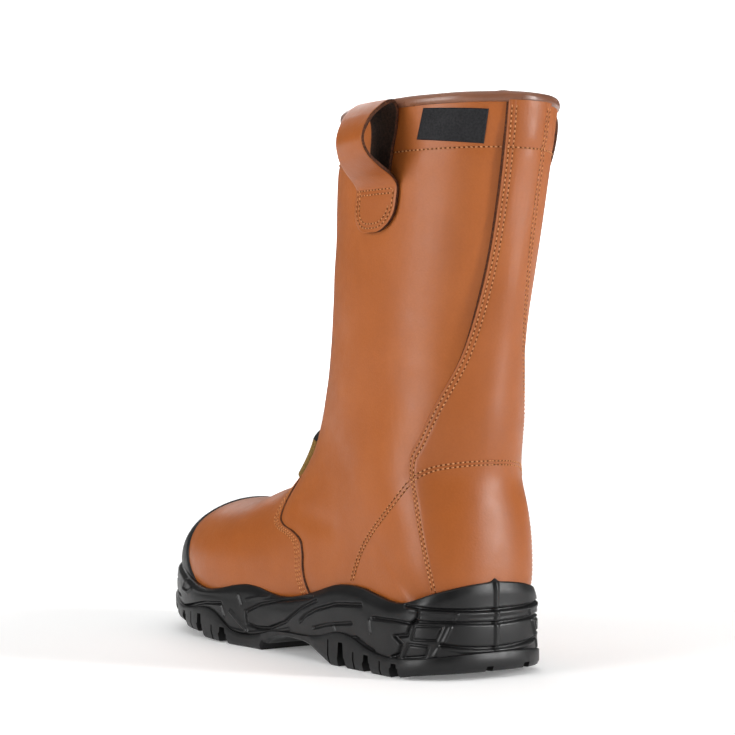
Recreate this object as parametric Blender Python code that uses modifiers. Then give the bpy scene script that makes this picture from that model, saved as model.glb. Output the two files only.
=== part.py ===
"""Pull-on safety boot for the left foot.

Shoe coordinates, in millimetres: s runs forward from the back of the sole to
the toe, x runs outward (the outer side of the foot is +x) and z runs up from
the floor.  In the scene the toe points along -Y and the outer side along +X.
"""
import bmesh
import bpy
import numpy as np
from collections import namedtuple
from math import cos, pi, sin
from mathutils import Vector

# ---------------------------------------------------------------- sizes (mm)
SOLE_LENGTH = 306.0        # about a size 43
COLLAR_HEIGHT = 296.0      # top of the leather wall, under the binding
WALL = 2.8                 # leather and lining together
GAP = 0.3                  # clearance between neighbouring pieces
HEEL_CAP = 42.0            # length of the rounded back of the sole
HEEL_SQUARE = 2.75         # superellipse power of the back of the sole
TOE_CAP = 84.0             # length of the rounded front of the sole
TOE_SQUARE = 2.35
FEATHER_INSET = 11.0       # sole outline to the lasted edge of the upper
OUTSOLE_FLANGE = 1.0       # the tread stands out this far from the cup
GROOVE_DEPTH = 4.6         # tread depth
PANEL_THICK = 1.8          # back strip and counter
GUARD_THICK = 1.2          # toe guard
TAB_THICK = 2.6            # instep tab
STRAP_THICK = 2.0          # pull loops
INSOLE_THICK = 3.0
INSOLE_INSET = 4.8         # insole to the lasted edge of the upper
BINDING_HALF_WIDTH = 2.5
BINDING_HEIGHT = 4.0
BINDING_RISE = 0.75        # foot of the binding above the collar row
MID_X, MID_S = -1.87, 142.42  # middle of the whole boot's box, seen from above

UPPER_COLUMNS = 16         # facets up each side of the upper
SOLE_STATIONS = 44         # facets along each side of the sole

# ---------------------------------------------------------------- short tables
# plan of the sole: middle line and half width along the length
Plan = namedtuple("Plan", "s middle half")
PLAN = [
    Plan(0, 0.0, 44.0), Plan(30, 0.3, 44.0), Plan(60, 0.8, 44.5), Plan(95, 3.5, 43.2),
    Plan(130, 5.0, 42.3), Plan(165, 3.3, 45.3), Plan(195, 0.5, 51.3), Plan(220, -0.5, 53.0),
    Plan(245, -1.5, 52.0), Plan(270, -3.5, 50.5), Plan(306, -6.0, 49.0),
]

# underside of the tread and joint between tread and cup, along the length
Level = namedtuple("Level", "s bottom joint")
LEVELS = [
    Level(0, 3.8, 13.8), Level(8, 3.2, 12.2), Level(18, 1.9, 10.8), Level(30, 0.0, 10.4),
    Level(40, 0.0, 10.6), Level(52, 0.0, 12.6), Level(66, 0.0, 17.0), Level(76, 0.0, 18.6),
    Level(86, 0.0, 17.6), Level(97, 4.2, 15.0), Level(108, 8.8, 13.6), Level(120, 10.2, 13.2),
    Level(133, 10.2, 13.0), Level(146, 7.0, 12.2), Level(157, 0.0, 9.6), Level(172, 0.0, 7.4),
    Level(188, 0.0, 9.6), Level(197, 1.0, 14.4), Level(206, 1.9, 18.4), Level(216, 3.1, 19.4),
    Level(228, 4.8, 18.0), Level(244, 7.4, 17.0), Level(265, 10.8, 19.0), Level(288, 14.0, 22.6),
    Level(306, 16.8, 26.0),
]

# wavy edge of the cup: height against the way round from the middle of the back
Wave = namedtuple("Wave", "way height lip")
WAVE = [
    Wave(0, 49.6, 0.9), Wave(16, 48.1, 1.0), Wave(30, 45.5, 1.4), Wave(39, 43.2, 1.9),
    Wave(50, 39.8, 2.6), Wave(58, 38.2, 3.0), Wave(67, 38.3, 3.2), Wave(79, 40.3, 3.4),
    Wave(93, 42.9, 3.6), Wave(106, 43.5, 3.7), Wave(116, 42.7, 3.7), Wave(138, 37.0, 3.6),
    Wave(153, 33.4, 3.4), Wave(163, 31.8, 3.2), Wave(171, 31.4, 3.0), Wave(182, 32.4, 2.8),
    Wave(195, 34.8, 2.6), Wave(206, 35.2, 2.6), Wave(218, 33.6, 2.6), Wave(232, 31.0, 2.4),
    Wave(246, 29.4, 2.2), Wave(258, 30.2, 2.2), Wave(275, 34.0, 2.2), Wave(296, 38.0, 2.4),
    Wave(330, 40.0, 2.8), Wave(420, 40.0, 2.8),
]

# the last: each row is a slanting section from its low end (sole or back line)
# to its high end (ridge of the foot or front line); half widths to each side,
# place of the widest point, and how square the section is below and above it
Section = namedtuple("Section", "low_s low_z high_s high_z middle outer inner widest square_low square_high")
LAST = [
    Section(298.0, 36.0, 298.0, 43.0, -6.0, 4.6, 4.6, .45, 2.0, 2.0),
    Section(296.5, 32.2, 296.5, 48.1, -5.9, 13.7, 13.7, .42, 2.2, 2.0),
    Section(293.0, 29.4, 293.0, 54.6, -5.7, 22.5, 22.5, .40, 2.4, 2.0),
    Section(286.2, 27.0, 286.2, 62.5, -5.3, 30.9, 30.9, .38, 2.5, 2.1),
    Section(275.6, 25.0, 275.6, 70.0, -4.6, 37.9, 37.9, .36, 2.5, 2.2),
    Section(260.0, 24.0, 260.0, 76.3, -3.4, 43.6, 43.6, .35, 2.5, 2.2),
    Section(242.0, 23.0, 242.0, 80.5, -1.8, 47.1, 47.1, .35, 2.5, 2.2),
    Section(222.0, 23.0, 221.0, 82.4, -0.5, 48.5, 48.5, .35, 2.5, 2.2),
    Section(198.0, 23.0, 201.0, 84.8, 1.0, 47.0, 46.5, .35, 2.5, 2.2),
    Section(174.0, 24.0, 185.1, 89.7, 2.5, 44.0, 43.5, .34, 2.5, 2.1),
    Section(148.0, 26.0, 167.3, 95.5, 3.2, 41.5, 40.5, .33, 2.5, 2.0),
    Section(118.0, 28.5, 153.3, 108.7, 3.0, 39.5, 38.5, .34, 2.5, 2.0),
    Section(85.0, 30.0, 144.2, 125.0, 1.7, 39.0, 37.8, .36, 2.6, 2.0),
    Section(50.0, 30.4, 142.0, 141.6, 0.7, 39.4, 38.8, .38, 2.8, 2.0),
    Section(25.0, 30.4, 139.5, 156.0, 0.3, 40.2, 40.0, .40, 3.0, 2.0),
    Section(13.0, 31.0, 137.8, 166.4, 0.0, 40.8, 40.8, .41, 3.1, 2.0),
    Section(5.0, 33.0, 137.0, 174.8, -0.3, 41.2, 41.4, .42, 3.1, 2.0),
    Section(3.5, 51.0, 136.0, 183.3, -0.7, 41.3, 41.8, .43, 2.9, 2.0),
    Section(4.2, 69.8, 135.0, 194.5, -1.2, 41.2, 41.6, .44, 2.6, 2.0),
    Section(6.3, 90.4, 134.3, 205.8, -1.8, 41.2, 41.4, .45, 2.35, 2.0),
    Section(7.2, 109.0, 133.5, 216.0, -2.5, 41.6, 41.6, .465, 2.2, 2.0),
    Section(6.3, 130.7, 132.8, 227.3, -3.2, 42.4, 42.3, .48, 2.1, 2.0),
    Section(3.6, 154.0, 132.0, 238.6, -4.0, 43.3, 43.2, .49, 2.05, 2.0),
    Section(0.2, 179.5, 131.3, 249.4, -4.8, 44.2, 44.0, .50, 2.0, 2.0),
    Section(-4.4, 205.4, 130.6, 259.4, -5.5, 45.2, 45.0, .50, 2.0, 2.0),
    Section(-9.2, 231.2, 130.0, 269.4, -6.2, 46.0, 46.0, .50, 2.0, 2.0),
    Section(-13.5, 256.0, 129.2, 279.2, -6.9, 46.7, 46.7, .50, 2.0, 2.0),
    Section(-17.2, 277.4, 128.4, 288.4, -7.4, 47.2, 47.2, .50, 2.0, 2.0),
    Section(-20.0, COLLAR_HEIGHT, 127.7, COLLAR_HEIGHT, -7.8, 47.5, 47.5, .50, 2.0, 2.0),
]
HEEL_ROW = 16              # from here up the low end is on the back line
COLLAR_ROW = len(LAST) - 1

# edge of the back strip, which widens into the counter: share of the way round
PanelEdge = namedtuple("PanelEdge", "row reach")
PANEL_EDGE = [
    PanelEdge(15.5, .140), PanelEdge(16.3, .166), PanelEdge(17.2, .203), PanelEdge(18.1, .233),
    PanelEdge(18.6, .250), PanelEdge(19.0, .250), PanelEdge(19.84, .219), PanelEdge(21.15, .166),
    PanelEdge(22.46, .110), PanelEdge(23.9, .079), PanelEdge(25.5, .069), PanelEdge(26.6, .069),
    PanelEdge(28.0, .072),
]

# rear edge of the toe guard: last row that it covers, by the share of the way up
GuardEdge = namedtuple("GuardEdge", "up row")
GUARD_EDGE = [
    GuardEdge(0.0, 6.4), GuardEdge(.10, 6.4), GuardEdge(.131, 6.3), GuardEdge(.165, 6.1), GuardEdge(.206, 5.85),
    GuardEdge(.281, 5.55), GuardEdge(.344, 5.42), GuardEdge(.413, 5.3), GuardEdge(.50, 5.18), GuardEdge(.61, 5.0),
    GuardEdge(.69, 5.08), GuardEdge(.775, 5.38), GuardEdge(.83, 5.7), GuardEdge(.92, 5.95), GuardEdge(1.0, 6.0),
]

# pull loops: stand-off of the rear edge from the shaft, height, the strap's rear
# and front edge, and the front edge's stand-off as a share of the rear one
Strap = namedtuple("Strap", "off z rear front share")
LOOP_OUTER = [
    Strap(1.5, 263.0, 40.0, 55.0, 1.0), Strap(1.5, 274.0, 37.5, 54.0, 1.0), Strap(1.6, 284.0, 34.5, 53.0, 1.0),
    Strap(2.9, 292.5, 32.2, 53.0, 1.0), Strap(3.9, 297.3, 31.6, 53.5, 1.0), Strap(6.8, 300.4, 31.4, 54.5, 1.0),
    Strap(12.0, 298.6, 31.4, 54.5, .95), Strap(20.4, 291.6, 31.6, 53.8, .88), Strap(27.2, 283.0, 32.0, 53.2, .84),
    Strap(29.2, 276.0, 32.4, 53.4, .82), Strap(25.2, 269.6, 32.8, 56.0, .82), Strap(17.0, 264.8, 33.3, 60.0, .86),
    Strap(7.4, 260.4, 33.8, 64.5, .95), Strap(2.2, 256.0, 34.2, 67.0, 1.0), Strap(1.5, 251.5, 34.6, 67.8, 1.0),
]
LOOP_INNER = [
    Strap(1.5, 258.0, 42.0, 62.0, 1.0), Strap(1.5, 272.0, 40.5, 61.0, 1.0), Strap(1.5, 286.0, 38.5, 59.5, 1.0),
    Strap(2.4, 294.0, 37.0, 58.5, 1.0), Strap(3.4, 300.0, 36.4, 58.4, 1.0), Strap(6.4, 303.8, 36.2, 58.6, 1.0),
    Strap(10.6, 303.4, 36.2, 58.6, 1.0), Strap(13.6, 299.0, 36.3, 58.6, 1.0), Strap(14.2, 290.5, 36.6, 59.0, 1.0),
    Strap(13.0, 279.0, 37.0, 60.5, 1.0), Strap(10.0, 267.5, 37.6, 64.0, 1.0), Strap(5.8, 256.5, 38.2, 69.0, 1.0),
    Strap(1.9, 247.5, 38.8, 71.8, 1.0),
]
TAB_CORNER = 14.0          # rounding of the sewn end of each loop
TAB_END_OUTER, TAB_END_INNER = 231.5, 226.0

# tread: notches cut in from the edge (side +1 outer, -1 inner), and bars across
Notch = namedtuple("Notch", "s side turn length width")
NOTCHES = [
    Notch(29.5, 1, 8, 17, 6.0), Notch(53, 1, 4, 17, 6.4), Notch(76, 1, 0, 17, 6.4),
    Notch(29.5, -1, 8, 17, 6.0), Notch(53, -1, 4, 17, 6.4), Notch(76, -1, 0, 17, 6.4),
    Notch(194, 1, -6, 17, 8.0), Notch(220, 1, -12, 17, 6.6), Notch(243, 1, -20, 17, 6.0),
    Notch(262, 1, -32, 17, 4.6),
    Notch(194, -1, -6, 17, 8.0), Notch(220, -1, -12, 17, 6.6), Notch(243, -1, -20, 17, 6.0),
    Notch(262, -1, -32, 17, 4.6),
]
BACK_NOTCHES = (4.5, -21.0)   # across the back edge of the heel
Bar = namedtuple("Bar", "s half_length width")
BARS = [
    Bar(46.5, 17, 4.6), Bar(66, 17, 4.6), Bar(179, 28, 4.6), Bar(204, 26, 4.6), Bar(222, 25, 4.6),
    Bar(240, 24, 4.6), Bar(258, 21, 4.6),
]

# ---------------------------------------------------------------- curves


def column(table, name):
    return np.array([getattr(row, name) for row in table], float)


def smooth(xs, ys, x):
    """Cubic through a table's points, with slopes from the neighbours."""
    xs, ys = np.asarray(xs, float), np.asarray(ys, float)
    step = np.diff(xs)
    slope = np.diff(ys) / step
    m = np.empty_like(ys)
    m[1:-1] = (slope[:-1] * step[1:] + slope[1:] * step[:-1]) / (step[1:] + step[:-1])
    m[0], m[-1] = slope[0], slope[-1]
    x = np.clip(np.asarray(x, float), xs[0], xs[-1])
    i = np.clip(np.searchsorted(xs, x) - 1, 0, len(xs) - 2)
    t = (x - xs[i]) / step[i]
    return ((2 * t**3 - 3 * t**2 + 1) * ys[i] + (t**3 - 2 * t**2 + t) * step[i] * m[i]
            + (3 * t**2 - 2 * t**3) * ys[i + 1] + (t**3 - t**2) * step[i] * m[i + 1])


def table_at(table, key, name, x):
    return smooth(column(table, key), column(table, name), x)


# ---------------------------------------------------------------- sole outline


def plan(s, inset=0.0):
    """Middle line and half width of the sole, drawn in by inset."""
    back, front = inset, SOLE_LENGTH - inset
    heel = np.clip((back + HEEL_CAP - s) / HEEL_CAP, 0, 1)
    toe = np.clip((s - front + TOE_CAP) / TOE_CAP, 0, 1)
    round_ends = ((1 - heel**HEEL_SQUARE)**(1 / HEEL_SQUARE)) * ((1 - toe**TOE_SQUARE)**(1 / TOE_SQUARE))
    return table_at(PLAN, "s", "middle", s), (table_at(PLAN, "s", "half", s) - inset) * round_ends


def edge_line(side, count):
    """Points, outward normals and way round of the outline on one side, back to toe."""
    a = np.linspace(0, pi / 2, 500)
    s = np.concatenate([HEEL_CAP * (1 - np.cos(a)**(2 / HEEL_SQUARE)),
                        np.linspace(HEEL_CAP, SOLE_LENGTH - TOE_CAP, 400)[1:-1],
                        (SOLE_LENGTH - TOE_CAP * (1 - np.cos(a)**(2 / TOE_SQUARE)))[::-1]])
    middle, half = plan(s)
    outer = np.stack([middle + half, s], 1)
    way = np.concatenate([[0], np.cumsum(np.hypot(*np.diff(outer, axis=0).T))])
    stations = np.interp(np.linspace(0, way[-1], count + 1), way, s)
    stations[0], stations[-1] = 0.0, SOLE_LENGTH
    curve = np.stack([middle + side * half, s], 1)
    points = np.stack([np.interp(stations, s, curve[:, k]) for k in (0, 1)], 1)
    tangent = np.gradient(curve, axis=0)
    tangent /= np.maximum(np.hypot(tangent[:, 0], tangent[:, 1]), 1e-9)[:, None]
    normal = np.stack([side * tangent[:, 1], -side * tangent[:, 0]], 1)
    normals = np.stack([np.interp(stations, s, normal[:, k]) for k in (0, 1)], 1)
    normals[0], normals[-1] = (0, -1), (0, 1)
    normals /= np.hypot(normals[:, 0], normals[:, 1])[:, None]
    return points, normals, np.interp(stations, s, way)


EDGE = {side: edge_line(side, 400) for side in (1, -1)}


def wave_height(x, s, side):
    """Height of the cup's wavy edge beside a point, by the nearest place on the outline."""
    points, _, _ = EDGE[side]
    way = EDGE[1][2]
    x, s = np.atleast_1d(x), np.atleast_1d(s)
    near = np.argmin((points[None, :, 0] - x[:, None])**2 + (points[None, :, 1] - s[:, None])**2, axis=1)
    return table_at(WAVE, "way", "height", way[near])


# ---------------------------------------------------------------- upper surface


def last_row(u):
    n = np.arange(len(LAST))
    return Section(*[float(smooth(n, column(LAST, name), u)) for name in Section._fields])


def feather_half(row):
    """Half width of the opening underneath, nothing on the back line or at the toe's tip."""
    if row.low_s <= LAST[HEEL_ROW].low_s + 1e-6:
        return 0.0
    return float(min(plan(np.array(row.low_s), FEATHER_INSET)[1], .93 * row.outer))


def section_line(u, side):
    """One side of the section at row u, low end to high end, and its length so far."""
    row = last_row(u)
    start = feather_half(row) if u < HEEL_ROW - 1e-6 else 0.0
    wide = row.outer if side > 0 else row.inner
    a = np.linspace(0, pi / 2, 70)
    lo, hi = 2 / row.square_low, 2 / row.square_high
    q = np.concatenate([row.widest * (1 - np.cos(a)**lo), (row.widest + (1 - row.widest) * np.sin(a)**hi)[1:]])
    w = np.concatenate([start + (wide - start) * np.sin(a)**lo, (wide * np.cos(a)**hi)[1:]])
    w[-1] = 0.0
    line = np.stack([row.middle + side * w, row.low_s + q * (row.high_s - row.low_s),
                     row.low_z + q * (row.high_z - row.low_z)], 1)
    run = np.concatenate([[0], np.cumsum(np.linalg.norm(np.diff(line, axis=0), axis=1))])
    return line, run / run[-1]


def upper_at(u, v, side):
    """Points of the upper's outer face: row u, shares v of the way from low to high."""
    line, run = section_line(u, side)
    return np.stack([np.interp(v, run, line[:, k]) for k in range(3)], -1)


def upper_normal(u, v, side):
    du, dv = .03, .006
    v = np.asarray(v, float)
    up = upper_at(min(u + du, COLLAR_ROW), v, side) - upper_at(max(u - du, 0), v, side)
    across = upper_at(u, np.minimum(v + dv, 1), side) - upper_at(u, np.maximum(v - dv, 0), side)
    n = np.cross(across, up) * side
    centre = np.array([last_row(u).middle, 0, 0])
    n /= np.maximum(np.linalg.norm(n, axis=-1), 1e-9)[..., None]
    flip = np.sign(n[..., 0] * (upper_at(u, np.full_like(v, .5), side) - centre)[..., 0])
    mid = upper_at(u, np.array([.4, .6]), side)
    return n, flip, mid


def outward(u, v, side):
    """Unit normal of the upper's outer face, away from the foot."""
    n, _, _ = upper_normal(u, v, side)
    probe, _, _ = upper_normal(u, np.array([.5]), side)
    if probe[0, 0] * side < 0:
        n = -n
    end = np.isclose(v, 1.0) | (np.isclose(v, 0.0) & (u >= HEEL_ROW))
    n[end, 0] = 0.0
    return n / np.linalg.norm(n, axis=-1)[..., None]


def shaft_point(s, z, side):
    """Outer face of the shaft at a given s and height, with its level outward normal."""
    z = min(z, COLLAR_HEIGHT)

    def x_and_z(u, where):
        line, _ = section_line(u, side)
        return np.interp(where, line[:, 1], line[:, 0]), np.interp(where, line[:, 1], line[:, 2])

    def x_at(where):
        a, b = HEEL_ROW + 2.0, float(COLLAR_ROW)
        for _ in range(40):
            m = (a + b) / 2
            if x_and_z(m, where)[1] < z:
                a = m
            else:
                b = m
        return x_and_z((a + b) / 2, where)[0]

    x = x_at(s)
    slope = (x_at(s + 2.0) - x_at(s - 2.0)) / 4.0
    n = np.array([1.0, -slope]) * side
    return x, n / np.hypot(*n)


# ---------------------------------------------------------------- meshes


def world(p):
    p = np.asarray(p, float)
    return Vector(((p[0] - MID_X) * .001, (MID_S - p[1]) * .001, p[2] * .001))


def mesh_object(name, points, faces, collection, color, rough=.5, metallic=0.0, weld=2e-6, flat=False):
    """A named object from points in shoe coordinates; doubled points are welded."""
    bm = bmesh.new()
    verts = [bm.verts.new(world(p)) for p in points]
    for f in faces:
        ring = [verts[i] for i in f]
        if len(set(ring)) >= 3 and bm.faces.get(ring) is None:
            bm.faces.new(ring)
    bmesh.ops.remove_doubles(bm, verts=bm.verts, dist=weld)
    bmesh.ops.dissolve_degenerate(bm, dist=1e-7, edges=bm.edges)
    bmesh.ops.recalc_face_normals(bm, faces=bm.faces)
    mesh = bpy.data.meshes.new(name)
    bm.to_mesh(mesh)
    bm.free()
    if not flat:
        mesh.shade_smooth()
        mesh.set_sharp_from_angle(angle=.7)
    obj = bpy.data.objects.new(name, mesh)
    collection.objects.link(obj)
    if color is not None:
        mat = bpy.data.materials.new(name)
        mat.use_nodes = True
        shader = mat.node_tree.nodes["Principled BSDF"]
        shader.inputs["Base Color"].default_value = (*color, 1)
        shader.inputs["Roughness"].default_value = rough
        shader.inputs["Metallic"].default_value = metallic
        mesh.materials.append(mat)
    else:
        obj.hide_render = True
        obj.display_type = "WIRE"
    return obj


def ring_loft(rings):
    """Faces between closed rings of points; the two end rings are points or lines."""
    n = len(rings[0])
    faces = []
    for i in range(len(rings) - 1):
        for j in range(n):
            k = (j + 1) % n
            faces.append((i * n + j, i * n + k, (i + 1) * n + k, (i + 1) * n + j))
    return np.concatenate(rings), faces


def plate(inner, outer):
    """Closed plate between two grids of points, with its four edges."""
    r, c = inner.shape[:2]
    points = np.concatenate([inner.reshape(-1, 3), outer.reshape(-1, 3)])
    top = r * c
    faces = []
    for i in range(r - 1):
        for j in range(c - 1):
            a, b, d, e = i * c + j, i * c + j + 1, (i + 1) * c + j + 1, (i + 1) * c + j
            for f in ((a, b, d), (a, d, e)):
                faces += [f[::-1], tuple(top + k for k in f)]
    for i in range(r - 1):
        for j in (0, c - 1):
            a, b = i * c + j, (i + 1) * c + j
            faces.append((a, b, top + b, top + a))
    for j in range(c - 1):
        for i in (0, r - 1):
            a, b = i * c + j, i * c + j + 1
            faces.append((a, b, top + b, top + a))
    return points, faces


def boolean(obj, cutter, operation="DIFFERENCE"):
    mod = obj.modifiers.new(cutter.name, "BOOLEAN")
    mod.object = cutter
    mod.operation = operation
    mod.solver = "EXACT"


def last_grid():
    """Rings of the last: outer side low to high, then inner side high to low."""
    v = np.linspace(0, 1, UPPER_COLUMNS + 1)
    rows = []
    for u in range(len(LAST)):
        a, b = upper_at(u, v, 1), upper_at(u, v, -1)
        rows.append(np.concatenate([a, b[::-1][1:]]))
    return rows


def halves(n, i, j, k):
    """A facet between rows i and i + 1 as two triangles, always cut the same way."""
    a, b, c, d = i * n + j, i * n + k, (i + 1) * n + k, (i + 1) * n + j
    return [(a, b, c), (a, c, d)]


def build_upper(parts):
    rows = last_grid()
    n = len(rows[0])
    points = np.concatenate(rows)
    faces = [f for i in range(len(rows) - 1) for j in range(n - 1) for f in halves(n, i, j, j + 1)]
    faces.append(tuple(range(n)))
    obj = mesh_object("upper", points, faces, parts, (.46, .16, .045), .38)
    wall = obj.modifiers.new("wall", "SOLIDIFY")
    wall.thickness = WALL * .001
    wall.offset = -1
    wall.use_even_offset = True
    return obj


def grown_last(cutters, grow):
    """The closed last, larger all round by grow, to hollow the cup."""
    rows = last_grid()
    n = len(rows[0])
    faces = []
    for i in range(len(rows) - 1):
        for j in range(n):
            faces += halves(n, i, j, (j + 1) % n)
    faces += [tuple(range(n)), tuple(range((len(rows) - 1) * n, len(rows) * n))]
    obj = mesh_object("last_grown", np.concatenate(rows), faces, cutters, None)
    bm = bmesh.new()
    bm.from_mesh(obj.data)
    bm.normal_update()
    moves = [(v, v.normal * (grow * .001 * v.calc_shell_factor())) for v in bm.verts]
    for v, d in moves:
        v.co += d
    bm.to_mesh(obj.data)
    bm.free()
    return obj


def build_midsole(parts, cutters):
    outer, outer_n, way = edge_line(1, SOLE_STATIONS)
    inner, inner_n, _ = edge_line(-1, SOLE_STATIONS)
    s = outer[:, 1]
    low = table_at(LEVELS, "s", "joint", s) + GAP
    high = table_at(WAVE, "way", "height", way)
    lip = table_at(WAVE, "way", "lip", way)
    profile = [(0.0, .5, 0.0), (.34, 0.0, 0.0), (.66, .3, 0.0), (.86, 0.0, .38), (1.0, 0.0, 1.0)]
    rings = []
    for i in range(len(s)):
        ring = []
        for line, normal, order in ((outer, outer_n, profile), (inner, inner_n, profile[::-1])):
            for share, inset, lips in order:
                p = line[i] - normal[i] * (inset + lips * lip[i])
                ring.append((p[0], p[1], low[i] + share * (high[i] - low[i])))
        rings.append(np.array(ring))
    obj = mesh_object("midsole", *ring_loft(rings), parts, (.012, .012, .013), .45)
    boolean(obj, grown_last(cutters, GAP + .06))
    return obj


def build_outsole(parts, cutters):
    outer, outer_n, _ = edge_line(1, SOLE_STATIONS)
    inner, inner_n, _ = edge_line(-1, SOLE_STATIONS)
    s = outer[:, 1]
    low, high = table_at(LEVELS, "s", "bottom", s), table_at(LEVELS, "s", "joint", s)
    low = np.maximum(low, 0.0)
    low[(s > 30) & (s < 86)] = 0.0
    low[(s > 157) & (s < 186)] = 0.0
    profile = [(0.0, .3), (.25, -OUTSOLE_FLANGE), (1.0, -OUTSOLE_FLANGE)]
    rings = []
    for i in range(len(s)):
        ring = []
        for line, normal, order in ((outer, outer_n, profile), (inner, inner_n, profile[::-1])):
            for share, inset in order:
                p = line[i] - normal[i] * inset
                ring.append((p[0], p[1], low[i] + share * (high[i] - low[i])))
        rings.append(np.array(ring))
    obj = mesh_object("outsole", *ring_loft(rings), parts, (.011, .011, .012), .55)

    points, faces = [], []

    def box(at, along, across, half_long, half_wide, top):
        base = len(points)
        for z in (-6.0, top):
            for a, b in ((-1, -1), (1, -1), (1, 1), (-1, 1)):
                p = at + along * (a * half_long) + across * (b * half_wide)
                points.append((p[0], p[1], z))
        faces.extend([tuple(base + k for k in f) for f in
                      ((0, 3, 2, 1), (4, 5, 6, 7), (0, 1, 5, 4), (1, 2, 6, 5), (2, 3, 7, 6), (3, 0, 4, 7))])

    for notch in NOTCHES:
        middle, half = plan(np.array(float(notch.s)))
        edge = np.array([middle + notch.side * half, notch.s])
        t = notch.turn * pi / 180
        along = np.array([notch.side * cos(t), -sin(t)])
        across = np.array([sin(t), notch.side * cos(t)])
        at = edge - along * (notch.length / 2 - 4.0)
        top = float(table_at(LEVELS, "s", "bottom", float(notch.s))) + GROOVE_DEPTH
        box(at, along, across, notch.length / 2 + 2.0, notch.width / 2, top)
    for x in BACK_NOTCHES:
        box(np.array([x, 2.0]), np.array([0, 1.0]), np.array([1.0, 0]), 10.0, 2.1, 2.0 + GROOVE_DEPTH)
    for bar in BARS:
        middle, _ = plan(np.array(float(bar.s)))
        top = float(table_at(LEVELS, "s", "bottom", float(bar.s))) + GROOVE_DEPTH - .7
        box(np.array([float(middle), bar.s]), np.array([1.0, 0]), np.array([0, 1.0]),
            bar.half_length, bar.width / 2, top)
    cutter = mesh_object("tread_cuts", points, faces, cutters, None)
    boolean(obj, cutter)
    return obj


def build_insole(parts):
    """Plate inside the opening underneath the upper, following its lasted edge."""
    feet = LAST[HEEL_ROW - 1::-1]
    low_s = np.array([r.low_s for r in feet])
    opening = np.array([feather_half(r) for r in feet])
    a = np.linspace(0, pi, 31)
    back, front = low_s[0] + 7.0, low_s[-1] - 11.0
    s = (back + front) / 2 - np.cos(a) * (front - back) / 2
    half = np.maximum(np.interp(s, low_s, opening) - INSOLE_INSET, .8)
    middle = np.interp(s, low_s, [r.middle for r in feet])
    z = np.interp(s, low_s, [r.low_z for r in feet]) + GAP
    rings = [np.array([(m - h, y, b), (m + h, y, b), (m + h, y, b + INSOLE_THICK), (m - h, y, b + INSOLE_THICK)])
             for m, h, y, b in zip(middle, half, s, z)]
    points, faces = ring_loft(rings)
    faces += [(0, 1, 2, 3), tuple(len(points) - k for k in (1, 2, 3, 4))]
    return mesh_object("insole", points, faces, parts, (.05, .045, .04), .9)


def signed_row(u, shares):
    """Points and normals across the back or front: shares below 0 are the inner side."""
    pts, nrm = np.empty((len(shares), 3)), np.empty((len(shares), 3))
    for side in (1, -1):
        pick = shares >= 0 if side > 0 else shares < 0
        if pick.any():
            pts[pick] = upper_at(u, np.abs(shares[pick]), side)
            nrm[pick] = outward(u, np.abs(shares[pick]), side)
    return pts, nrm


def build_back_panel(parts):
    t = np.linspace(-1, 1, 21)

    def reach(u):
        return float(table_at(PANEL_EDGE, "row", "reach", u))

    def foot_row(tt):
        a, b = 15.6, 18.0
        for _ in range(40):
            m = (a + b) / 2
            side = 1 if tt >= 0 else -1
            p = upper_at(m, np.array([abs(tt) * reach(m)]), side)[0]
            if p[2] < wave_height(p[0], p[1], side)[0] + 2 * GAP:
                a = m
            else:
                b = m
        return (a + b) / 2

    inner, outer = [], []
    first = [foot_row(x) for x in t]
    second = [max(17.0, u + .12) for u in first]
    lines = [first, second] + [[float(u)] * len(t) for u in range(18, COLLAR_ROW + 1)]
    for line in lines:
        pts, nrm = [], []
        for u, x in zip(line, t):
            p, n = signed_row(u, np.array([x * reach(u)]))
            pts.append(p[0])
            nrm.append(n[0])
        pts, nrm = np.array(pts), np.array(nrm)
        inner.append(pts + nrm * (GAP + .08))
        outer.append(pts + nrm * (GAP + .08 + PANEL_THICK))
    inner, outer = np.array(inner), np.array(outer)
    inner[-1, :, 2] = outer[-1, :, 2] = COLLAR_HEIGHT
    outer[0, :, 2] = inner[0, :, 2]
    return mesh_object("back_panel", *plate(inner, outer), parts, (.47, .165, .046), .38)


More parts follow.
